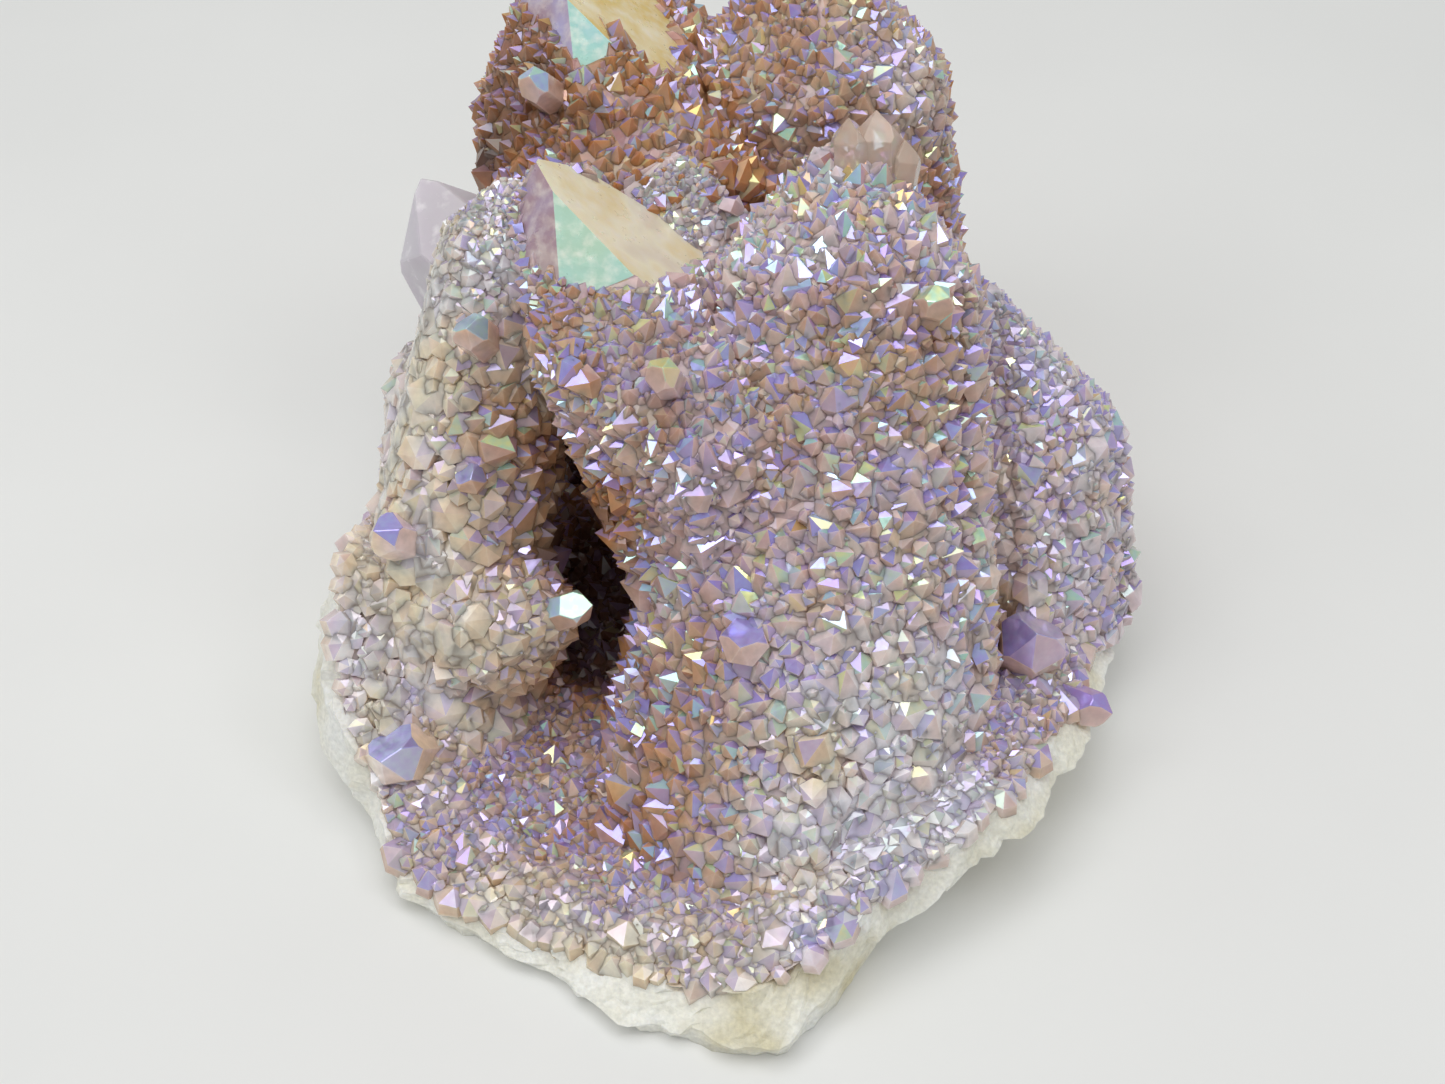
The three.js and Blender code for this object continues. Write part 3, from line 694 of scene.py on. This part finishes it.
def tint_facets(piece, skin_count, warmth, milk, gold, random):
    """Gives each facet its tint, the tint's strength and how deep the quartz under it looks. The strength is
    painted reflection: full only on facets turned to mirror the overhead light. Milky crust took less of the
    vapour, and the skin between the crystals hardly any."""
    mesh = piece.data
    count = len(mesh.polygons)
    normals = np.array([face.normal for face in mesh.polygons])
    centres = np.array([face.center for face in mesh.polygons]) / MM
    brown, cloudy, local = patch_values(centres, warmth, milk, gold).T

    # Painted reflection: facets turned to mirror the overhead light take the tint in full.
    glinting = np.clip((normals @ unit(np.array(GLINT_FACING)) - GLINT_SLANT) / GLINT_FADE, 0, 1)
    slant = 0.36 * norm(normals[:, :2], axis=1) + 0.93 * normals[:, 2]
    glint_from_behind = np.clip((slant - GLINT_SLANT_BEHIND) / GLINT_FADE, 0, 1) * (normals[:, 1] > 0)
    glinting = np.maximum(glinting, GLINT_SHARE_BEHIND * glint_from_behind)
    chance = random.uniform(0, 1, count)
    strength = glinting * np.where(chance < FAINT_SHARE, 0.1, np.where(chance < HALF_SHARE, 0.6, 1))
    strength *= np.clip(1.2 - (0.75 + 0.65 * brown) * cloudy, 0, 1) * np.clip(2.2 - 1.4 * brown, 0, 1)
    strength[:skin_count] *= SKIN_TINT

    tint = USUAL_TINT + random.normal(0, TINT_SPREAD, count)
    mint = random.uniform(0, 1, count) < MINT_SHARES[0] + MINT_SHARES[1] * local
    tint = np.where(mint, random.uniform(*MINT_TINTS, count), tint)
    low, high = GOLD_HEIGHTS
    height = np.clip((centres[:, 2] - low) / (high - low), 0, 1)
    golden = random.uniform(0, 1, count) < GOLD_SHARES[0] + GOLD_SHARES[1] * local * height
    tint = np.where(golden, random.uniform(*GOLD_TINTS, count), tint)
    depth = random.uniform(0, 1, count)
    # The skin between the crystals is set deeper than most facets, so it shows darker: painted crease shade.
    depth[:skin_count] = 0.3
    keep_values(mesh, "tint", "FACE", np.stack([tint, strength, depth], 1))


# How the crystals stand out of the crust.
CRYSTAL_LEAN = 0.35  # with the axis of their point
CRYSTAL_TILT = 0.16  # each its own way
WIDTH_SPREAD = (0.17, 0.34)  # middle and spread of the logarithm of a width, as a share of the usual one
WIDTH_LIMITS = (0.6, 2.1)
PEAK_SHARES = (0.28, 0.48)  # a peak's height, as a share of the width
MILK_FLATTENS = 0.8  # how much of a crystal's relief is lost where the crust is cloudy
PROUD_SHARE = 0.15  # crystals that stand proud of cloudy crust all the same
PROUD_RELIEF = 0.75
STAND = 0.3  # how high the shoulders stand over the crust, as a share of the usual width
STAND_SPREAD = 0.12
WIDE_STAND = 0.2  # how much higher the wide ones stand
PEAK_SINKS = 0.38  # how much lower, for the peak that tops them
ROOT_DEPTH = 0.7
LOWEST_CRUST = 0.2  # over the table


def crusted_piece(name, skin, skin_faces, sites, facing, widths, look, random, lean):
    """Joins a skin and its crystals in one piece."""
    usual = widths
    widths = usual * np.clip(np.exp(random.normal(*WIDTH_SPREAD, len(sites))), *WIDTH_LIMITS)
    relief = 1 - MILK_FLATTENS * patch_values(sites, *look)[:, 1]
    proud = random.uniform(0, 1, len(sites)) < PROUD_SHARE
    relief = np.where(proud, np.maximum(relief, PROUD_RELIEF), relief)
    tilt = CRYSTAL_LEAN * np.array(lean) + random.normal(0, CRYSTAL_TILT, sites.shape)
    axes = unit(facing + np.minimum(1.3 * relief, 1)[:, None] * tilt)
    peaks = relief * widths * random.uniform(*PEAK_SHARES, len(sites))
    uneven = usual * random.uniform(-STAND_SPREAD, STAND_SPREAD, len(sites))
    stands = STAND * usual + relief * (uneven + WIDE_STAND * (widths - 1.2 * usual))
    stands -= PEAK_SINKS * relief * widths
    grown, crystal_faces, heights = small_crystals(
        sites, axes, widths, stands, peaks, ROOT_DEPTH + 0.3 * widths, random)
    start = len(skin)
    faces = list(skin_faces) + [tuple(start + i for i in face) for face in crystal_faces]
    vertices = np.concatenate([skin, grown])
    vertices[:, 2] = np.maximum(vertices[:, 2], LOWEST_CRUST)
    piece = new_piece(name, vertices, faces)
    values = patch_values(vertices, *look)
    # The third value sets the painted crease shade: the skin is darker, less so where it is milky, and each
    # crystal is darker at its foot.
    values[:, 2] = np.concatenate([0.25 + 0.6 * values[:start, 1], heights])
    keep_values(piece.data, "growth", "POINT", values)
    tint_facets(piece, len(skin_faces), *look, random)
    return piece


# The skin under the crystals: its pitch and roughness, how deep it lies, and how far it keeps from the
# rock's broken sides.
SKIN_PITCH = 1.25
SKIN_ROUGHNESS = 0.3
SKIN_DEPTH = 0.35
SKIN_GAP = 1.2


def closed_rings(rows, steps):
    """The faces between closed rings, and one face over each end."""
    ends = [tuple(range(steps - 1, -1, -1)), tuple(range((rows - 1) * steps, rows * steps))]
    return ring_faces(rows, steps) + ends


def point_skin(point, random):
    """The closed skin under the crust's crystals, rough at the scale of the smallest of them."""
    length = point["apex"][2]
    rows = int(length * 1.15 / SKIN_PITCH)
    steps = int(math.pi * (sum(point["radii"]) + 2) / SKIN_PITCH)
    step = math.tau / steps
    shares = (1 - 0.4 / length) * np.linspace(0, 1, rows) ** 0.85
    shares, angles = np.meshgrid(shares, np.arange(steps) * step, indexing="ij")
    shares = shares.ravel()
    angles = angles.ravel() + random.uniform(-0.3, 0.3, shares.size) * step
    places = crust_places(point, shares, angles)
    middle = shares[:, None] * point["apex"] @ point["pose"].T + point["root"]
    swell = random.uniform(-SKIN_ROUGHNESS, SKIN_ROUGHNESS, len(places)) - SKIN_DEPTH
    places += unit(places - middle + 1e-6) * swell[:, None]
    places[:, 2] = np.maximum(places[:, 2], CRUST_FOOT)
    return tuck_in(places, SKIN_GAP)[0], closed_rings(rows, steps)


def values_of(tree, name):
    """The three numbers that a mesh keeps under a name."""
    vector = add_node(tree, "ShaderNodeAttribute", attribute_name=name).outputs["Vector"]
    return add_node(tree, "ShaderNodeSeparateXYZ", {0: vector}).outputs


def ramp_of(tree, source, stops):
    """A colour ramp through stops, each (position, (red, green, blue))."""
    node = add_node(tree, "ShaderNodeValToRGB", {"Fac": source})
    while len(node.color_ramp.elements) < len(stops):
        node.color_ramp.elements.new(0.5)
    for element, (position, colour) in zip(node.color_ramp.elements, stops):
        element.position = position
        element.color = (*colour, 1)
    return node.outputs["Color"]


def film_of(tree, phase, size, detail, spread, stops):
    """The vapour's colours, at a phase that drifts a little over each facet."""
    links = {0: phase, 1: mottle_of(tree, size, *spread, detail)}
    return ramp_of(tree, add_node(tree, "ShaderNodeMath", links, operation="ADD").outputs[0], stops)


# The quartz of the crust from rose through brown, by its warmth, and where it is cloudy. Past brown it runs
# to nearly black, which is painted shade for the pit and hollows that the patches darken.
CRUST_COLOURS = [
    (0.0, (0.65, 0.50, 0.56)),
    (0.2, (0.63, 0.42, 0.39)),
    (0.4, (0.53, 0.33, 0.23)),
    (0.65, (0.56, 0.26, 0.10)),
    (1.0, (0.09, 0.04, 0.025)),
]
CLOUDY_LILAC = (1.0, 0.91, 0.96)
CLOUDY_CREAM = (0.94, 0.80, 0.60)
# Painted crease shade, brown like the iron in the crust: the crystals' feet and the skin between them are
# blended towards it.
BROWN_CREASE_SHADE = (0.42, 0.24, 0.16)
DEEP_SHADE = (0.82, 0.75, 0.71)

aura_quartz, tree, shader = new_material("aura quartz")
warm, milky, height = values_of(tree, "growth")
phase, strength, depth = values_of(tree, "tint")
body = ramp_of(tree, range_of(tree, warm, 0, 1.5), CRUST_COLOURS)
cloudy = blend_of(tree, range_of(tree, warm, 0.05, 0.45), CLOUDY_LILAC, CLOUDY_CREAM)
body = blend_of(tree, milky, body, cloudy)
# Painted crease shade: the low parts of each crystal and the skin between them are blended darker and
# browner.
crease_shaded = blend_of(tree, 0.3, body, BROWN_CREASE_SHADE)
body = blend_of(tree, range_of(tree, height, 0.1, 0.9), crease_shaded, body)
body = product_of(tree, body, mottle_of(tree, 1.1, 0.88, 1.1))
body = blend_of(tree, range_of(tree, depth, 0.05, 0.75), product_of(tree, body, DEEP_SHADE), body)
film = film_of(tree, phase, 0.8, 1, (-0.05, 0.05), TINT_STOPS)
# The film shows by each facet's strength, which is mostly painted reflection of the overhead light; metallic
# follows it.
tree.links.new(blend_of(tree, strength, body, film), shader.inputs["Base Color"])
tree.links.new(range_of(tree, strength, 0, 1, 0.0, 0.65), shader.inputs["Metallic"])
tree.links.new(mottle_of(tree, 0.6, 0.08, 0.2), shader.inputs["Roughness"])
let_light_in(shader, 0.7, (1, 0.85, 0.8), 1.4)
shader.inputs["IOR"].default_value = QUARTZ_IOR

for point in SPIRIT_POINTS.values():
    set_up(point)
for number, (name, point) in enumerate(SPIRIT_POINTS.items()):
    random = np.random.default_rng(100 + number)
    skin, skin_faces = point_skin(point, random)
    sites, facing, widths = crust_sites(point, random)
    tops = sites + facing
    hidden = tops[:, 2] < np.maximum(rock_height(tops[:, 0], tops[:, 1]), CRUST_FOOT)
    hidden |= tuck_in(tops, 0.3)[1]
    for other in SPIRIT_POINTS.values():
        if other is not point:
            hidden |= is_inside(other, tops)
    shown = ~hidden
    crust = crusted_piece(
        name, skin, skin_faces, sites[shown], facing[shown], widths[shown], point["look"], random,
        point["pose"][:, 2])
    crust.data.materials.append(aura_quartz)
    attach(crust, "root")
    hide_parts("spirit_points")


# ---- Druse ------------------------------------------------------------------------------------------
# The blanket of small crystals that covers the rock between the points, the same growth as their crust.
# It is finest and smoothest in the valley, and cloudy white along the brim.

# How thick it is, what share of that its edge has, and over what share of the way in it thickens.
DRUSE_DEPTH = 2.6
DRUSE_EDGE = 0.35
DRUSE_THICKENS = 0.09
# Its skin and its underside, the rows of its crystals, and how much finer they are in the valley.
DRUSE_RINGS = 33
DRUSE_STEPS = 190
DRUSE_UNDERSIDE = (0.03, 0.2, 0.4, 0.6, 0.8, 0.97)
DRUSE_ROWS = (0.985, 0.06, -0.028)
DRUSE_GIRTH = math.tau * 42
DRUSE_PITCH = 1.35
DRUSE_WIDTH = 2.1
VALLEY = (-15, -6, 7)
VALLEY_REACH = 11
VALLEY_FINENESS = 0.7
# Warmth, milk and gold, and the way that the crystals lean.
DRUSE_LOOK = (0.3, 0.33, 0.1)
DRUSE_LEAN = (0, -0.3, 0.6)


def druse_places(shares, angles):
    """Points of the druse's upper side, at shares of the way from the base's middle to its brim."""
    edge = base_station(np.degrees(angles))[3]
    x = BASE_MIDDLE[0] + edge * np.minimum(shares, 0.9999) * np.cos(angles)
    y = BASE_MIDDLE[1] + edge * np.minimum(shares, 0.9999) * np.sin(angles)
    cover = DRUSE_DEPTH * np.clip((1 - shares) / DRUSE_THICKENS, DRUSE_EDGE, 1)
    return np.stack([x, y, rock_height(x, y) + cover], 1)


random = np.random.default_rng(61)
step = math.tau / DRUSE_STEPS
shares, angles = np.meshgrid(
    np.linspace(1, 0, DRUSE_RINGS + 1)[:-1], np.arange(DRUSE_STEPS) * step, indexing="ij")
upper = druse_places(shares.ravel(), angles.ravel() + random.uniform(-0.3, 0.3, shares.size) * step)
upper[:, 2] += random.uniform(-0.25, 0.25, len(upper)) - 0.45
under = np.repeat(DRUSE_UNDERSIDE, DRUSE_STEPS)
lower = druse_places(under, np.tile(angles[0], len(DRUSE_UNDERSIDE)))
lower[:, 2] -= DRUSE_DEPTH * np.where(under > 0.95, DRUSE_EDGE, 1) + SKIN_GAP
skin = np.concatenate([lower, upper])
skin_faces = closed_rings(len(DRUSE_UNDERSIDE) + DRUSE_RINGS, DRUSE_STEPS)

rows = []
for share in np.arange(*DRUSE_ROWS):
    count = int(DRUSE_GIRTH * share / DRUSE_PITCH)
    turned = np.arange(count) + random.uniform(-STRAY, STRAY, count)
    rows.append(np.stack([share + random.uniform(-0.011, 0.011, count), turned * math.tau / count], 1))
shares, angles = np.concatenate(rows).T
sites = druse_places(shares, angles)
inward = druse_places(shares - 0.02, angles) - sites
sideways = druse_places(shares, angles + 0.03) - sites
facing = unit(np.cross(sideways, inward))
facing *= np.sign(facing[:, 2:])
hidden = np.zeros(len(sites), bool)
for point in SPIRIT_POINTS.values():
    hidden |= is_inside(point, sites + facing)
sites, facing = sites[~hidden], facing[~hidden]
in_valley = np.exp(-(norm(sites - VALLEY, axis=1) / VALLEY_REACH) ** 2)
widths = DRUSE_WIDTH - VALLEY_FINENESS * in_valley
druse = crusted_piece("druse", skin, skin_faces, sites, facing, widths, DRUSE_LOOK, random, DRUSE_LEAN)
druse.data.materials.append(aura_quartz)
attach(druse, "root")
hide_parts("spirit_points")


# ---- Bare tips --------------------------------------------------------------------------------------
# On two points the crust stops short, and the pyramid of the crystal inside stands free: broad flat
# faces, glassy and finely stepped, each tinted by the vapour as it happened to face.

# The point that each belongs to, how far it goes down from the apex, and the tint of the pyramid's faces.
BARE_TIPS = {
    "front_tip": ("front_point", 20, (0.1, 0.1, 0.3, 0.4, 0.34, 0.92)),
    "rear_tip": ("rear_point", 24, (0.02, 0.06, 0.3, 0.4, 0.4, 0.82)),
}
SIDE_TINT = 0.35
# Gold, cream, dusky rose, blue, teal and green.
BARE_COLOURS = [
    (0.0, (0.76, 0.57, 0.20)),
    (0.12, (0.92, 0.86, 0.66)),
    (0.34, (0.42, 0.28, 0.33)),
    (0.5, (0.50, 0.50, 0.80)),
    (0.8, (0.29, 0.54, 0.50)),
    (1.0, (0.38, 0.53, 0.38)),
]
PALE_VEIL = (0.90, 0.84, 0.76)


def crystal_piece(name, planes, pose, root, bevel, from_height=0.0):
    """A sharp crystal from its planes, its edges blunted by bevel, and the plane that each face lies on."""
    normals, reaches = planes[0].copy(), planes[1].copy()
    reaches[0] = -from_height
    corners = crystal_corners((normals, reaches))
    body = bmesh.new()
    places = corners @ pose.T + root
    made = [body.verts.new(place * MM) for place in places]
    for normal, reach in zip(normals, reaches):
        on_it = np.where(np.abs(corners @ normal - reach) < 1e-4)[0]
        if len(on_it) < 3:
            continue
        away = corners[on_it] - corners[on_it].mean(0)
        first = unit(away[0])
        second = np.cross(normal, first)
        order = np.argsort(np.arctan2(away @ second, away @ first))
        body.faces.new([made[i] for i in on_it[order]])
    body.normal_update()
    if bevel:
        bmesh.ops.bevel(body, geom=list(body.edges), offset=bevel * MM, segments=1, affect="EDGES")
    mesh = bpy.data.meshes.new(name)
    body.to_mesh(mesh)
    body.free()
    facing = np.array([face.normal for face in mesh.polygons]) @ pose
    return add_object(name, mesh), (facing @ normals.T).argmax(1)


bare_quartz, tree, shader = new_material("bare quartz face")
phase, _, _ = values_of(tree, "tint")
film = film_of(tree, phase, 5, 2, (-0.05, 0.07), BARE_COLOURS)
veiled = blend_of(tree, range_of(tree, noise_of(tree, 1.2, 5), 0.45, 0.75, 0, 0.5), film, PALE_VEIL)
tree.links.new(veiled, shader.inputs["Base Color"])
shader.inputs["Metallic"].default_value = 0.15
tree.links.new(mottle_of(tree, 1.5, 0.25, 0.42), shader.inputs["Roughness"])
tree.links.new(bump_of(tree, noise_of(tree, 0.7, 4), 0.15, 0.3), shader.inputs["Normal"])
let_light_in(shader, 0.3, (1, 0.7, 0.5), 2)
shader.inputs["IOR"].default_value = QUARTZ_IOR

for name, (point_name, depth, tints) in BARE_TIPS.items():
    point = SPIRIT_POINTS[point_name]
    tip, planes_met = crystal_piece(
        name, point["planes"], point["pose"], point["root"], 0, point["apex"][2] - depth)
    # Plane 0 is the foot. After it each side is followed by the face of the pyramid over it.
    tone_of_plane = [SIDE_TINT] + [tone for over in tints for tone in (SIDE_TINT, over)]
    keep_values(tip.data, "tint", "FACE", [(tone_of_plane[plane], 1, 0) for plane in planes_met])
    tip.data.materials.append(bare_quartz)
    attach(tip, "root")
    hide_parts("spirit_points")


# ---- Larger crystals --------------------------------------------------------------------------------
# Here and there a crystal of the second growth has outgrown the crust around it. Three clear ones, with
# a breath of peach in them, crown the leaning point.

# One row for each: root, tip, radius and the tint of its upper faces.
LARGE_CRYSTALS = [
    ((13.5, 27.5, 59), (13, 29.4, 66.4), 2.2, 0.14),
    ((16, 28, 59), (15.8, 30, 67), 2.5, 0.14),
    ((17.5, 27, 58), (18.6, 28.4, 64.4), 1.8, 0.14),
    ((33, 7, 9), (33.7, 2, 21), 3.6, 0.52),
    ((3, -3, 24), (1.8, -9.8, 31.5), 2.4, 0.55),
    ((-33, -3, 6), (-36, -9.5, 13.5), 3.2, 0.6),
    ((-24, 20, 44), (-25.8, 14.8, 51.5), 2, 0.78),
    ((-26, 15, 30), (-26.3, 9, 36), 1.7, 0.58),
    ((-32, 11, 24), (-37, 7, 30.5), 2.3, 0.5),
    ((-20, 4, 20), (-13.6, 1.5, 25), 1.9, 0.8),
    ((36, 3, 9), (42, -2.5, 11.5), 2, 0.45),
    ((-5, 10, 47), (-6, 4.2, 54.5), 1.7, 0.98),
    ((-17.7, 45.2, 57.6), (-20.3, 39, 64.5), 1.8, 0.75),
    ((18, 18, 51), (22, 11.5, 57), 1.7, 0.88),
]
CLEAR_COUNT = 3
LARGE_TURN = 20
LARGE_TAPER = 0.9
LARGE_CUT = 0.25
LARGE_BEVEL = 0.06
LARGE_LOOK = (0.3, 0.25, 0)
TONE_DRAWS = 14  # one for each plane, and one spare
PEACH_HAZE = (1.0, 0.72, 0.58)
PALE_HAZE = (1.0, 0.85, 0.72)

clear_quartz, tree, shader = new_material("clear quartz")
haze = blend_of(tree, mottle_of(tree, 2, 0, 1), PEACH_HAZE, PALE_HAZE)
tree.links.new(haze, shader.inputs["Base Color"])
tree.links.new(mottle_of(tree, 0.9, 0.03, 0.1), shader.inputs["Roughness"])
shader.inputs["Transmission Weight"].default_value = 0.6
shader.inputs["IOR"].default_value = QUARTZ_IOR

for number, (root, tip, radius, tone) in enumerate(LARGE_CRYSTALS):
    cuts = (LARGE_CUT * radius, 0, 0, 0, 0, 0)
    shape = crystal_shape(root, tip, (radius, LARGE_TAPER * radius), LARGE_TURN * number, cuts)
    clear = number < CLEAR_COUNT
    name = f"clear_crystal_{number + 1}" if clear else f"large_crystal_{number + 1 - CLEAR_COUNT}"
    crystal, planes_met = crystal_piece(name, *shape, LARGE_BEVEL)
    random = np.random.default_rng(300 + number)
    places = np.array([vertex.co for vertex in crystal.data.vertices]) / MM
    values = patch_values(places, *LARGE_LOOK)
    along = np.subtract(tip, root)
    # Painted crease shade: darker and browner towards the crystal's root.
    values[:, 2] = 0.4 + 0.6 * (places - root) @ along / (along @ along)
    keep_values(crystal.data, "growth", "POINT", values)
    facing = np.array([face.normal for face in crystal.data.polygons])
    # Painted reflection: the faces turned to mirror the overhead light take the tint.
    glinting = np.clip((facing @ unit(np.array(GLINT_FACING)) - 0.45) / 0.25, 0, 1)
    tones = tone + random.uniform(-0.08, 0.08, TONE_DRAWS)[planes_met]
    depth = random.uniform(0.4, 1, TONE_DRAWS)[planes_met]
    keep_values(crystal.data, "tint", "FACE", np.stack([tones, 0.9 * glinting, depth], 1))
    crystal.data.materials.append(clear_quartz if clear else aura_quartz)
    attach(crystal, "root")
    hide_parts("spirit_points")


# ---- Smooth point -----------------------------------------------------------------------------------
# A single point behind on the left that no second growth reached, so its six sides are plain and its
# tip sharp. It is cloudy lavender quartz with white veils in it.

SMOOTH_ROOT = (-17, 42, 7)
SMOOTH_TIP = (-36, 58, 39)
SMOOTH_RADII = (7.5, 6.5)
SMOOTH_TURN = 40
SMOOTH_BEVEL = 0.15
DUSKY_LAVENDER = (0.56, 0.52, 0.58)
LAVENDER = (0.64, 0.61, 0.66)
WHITE_VEIL = (0.80, 0.78, 0.81)

shape = crystal_shape(SMOOTH_ROOT, SMOOTH_TIP, SMOOTH_RADII, SMOOTH_TURN)
smooth_point, _ = crystal_piece("smooth_point", *shape, SMOOTH_BEVEL)

smooth_quartz, tree, shader = new_material("smooth lavender quartz")
cloud = blend_of(tree, mottle_of(tree, 6, 0, 1), DUSKY_LAVENDER, LAVENDER)
veiled = blend_of(tree, range_of(tree, noise_of(tree, 2.2, 5), 0.55, 0.75), cloud, WHITE_VEIL)
tree.links.new(veiled, shader.inputs["Base Color"])
tree.links.new(mottle_of(tree, 1.4, 0.1, 0.28), shader.inputs["Roughness"])
let_light_in(shader, 0.5, (1, 0.8, 1), 3)
shader.inputs["IOR"].default_value = QUARTZ_IOR
smooth_point.data.materials.append(smooth_quartz)
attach(smooth_point, "root")
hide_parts("bare_point")


# ---- Floor and lights -------------------------------------------------------------------------------
# A plain pale tabletop under a broad soft light from above, with a small lamp on each side and a faint
# one in front, which the facets catch one by one.

FLOOR_REACH = 3000
FLOOR_CORNERS = [(-1, -1, 0), (1, -1, 0), (1, 1, 0), (-1, 1, 0)]
ROOM_COLOUR = (0.93, 0.95, 0.94, 1)
ROOM_STRENGTH = 0.5
LIGHT_AIM = Vector((0, 0.015, 0.03))
# Name, place, size and power of each lamp.
LIGHTS = [
    ("overhead_softbox", (-0.06, 0.0, 0.55), 0.48, 1.3),
    ("left_lamp", (-0.32, -0.1, 0.42), 0.16, 0.26),
    ("right_lamp", (0.28, -0.05, 0.5), 0.14, 0.22),
    ("front_lamp", (0.05, -0.42, 0.42), 0.02, 0.04),
]

floor = new_piece("floor", FLOOR_REACH * np.array(FLOOR_CORNERS), [(0, 1, 2, 3)])
pale_top, tree, shader = new_material("pale tabletop")
tone = blend_of(tree, mottle_of(tree, 60, 0, 1), (0.80, 0.80, 0.79), (0.83, 0.83, 0.82))
tree.links.new(tone, shader.inputs["Base Color"])
shader.inputs["Roughness"].default_value = 0.7
floor.data.materials.append(pale_top)

world = bpy.data.worlds.new("room")
bpy.context.scene.world = world
world.use_nodes = True
background = world.node_tree.nodes["Background"]
background.inputs["Color"].default_value = ROOM_COLOUR
background.inputs["Strength"].default_value = ROOM_STRENGTH

for name, place, size, power in LIGHTS:
    light = add_object(name, bpy.data.lights.new(name, "AREA"))
    light.data.size = size
    light.data.energy = power
    light.location = place
    light.rotation_euler = (LIGHT_AIM - Vector(place)).to_track_quat("-Z", "Y").to_euler()
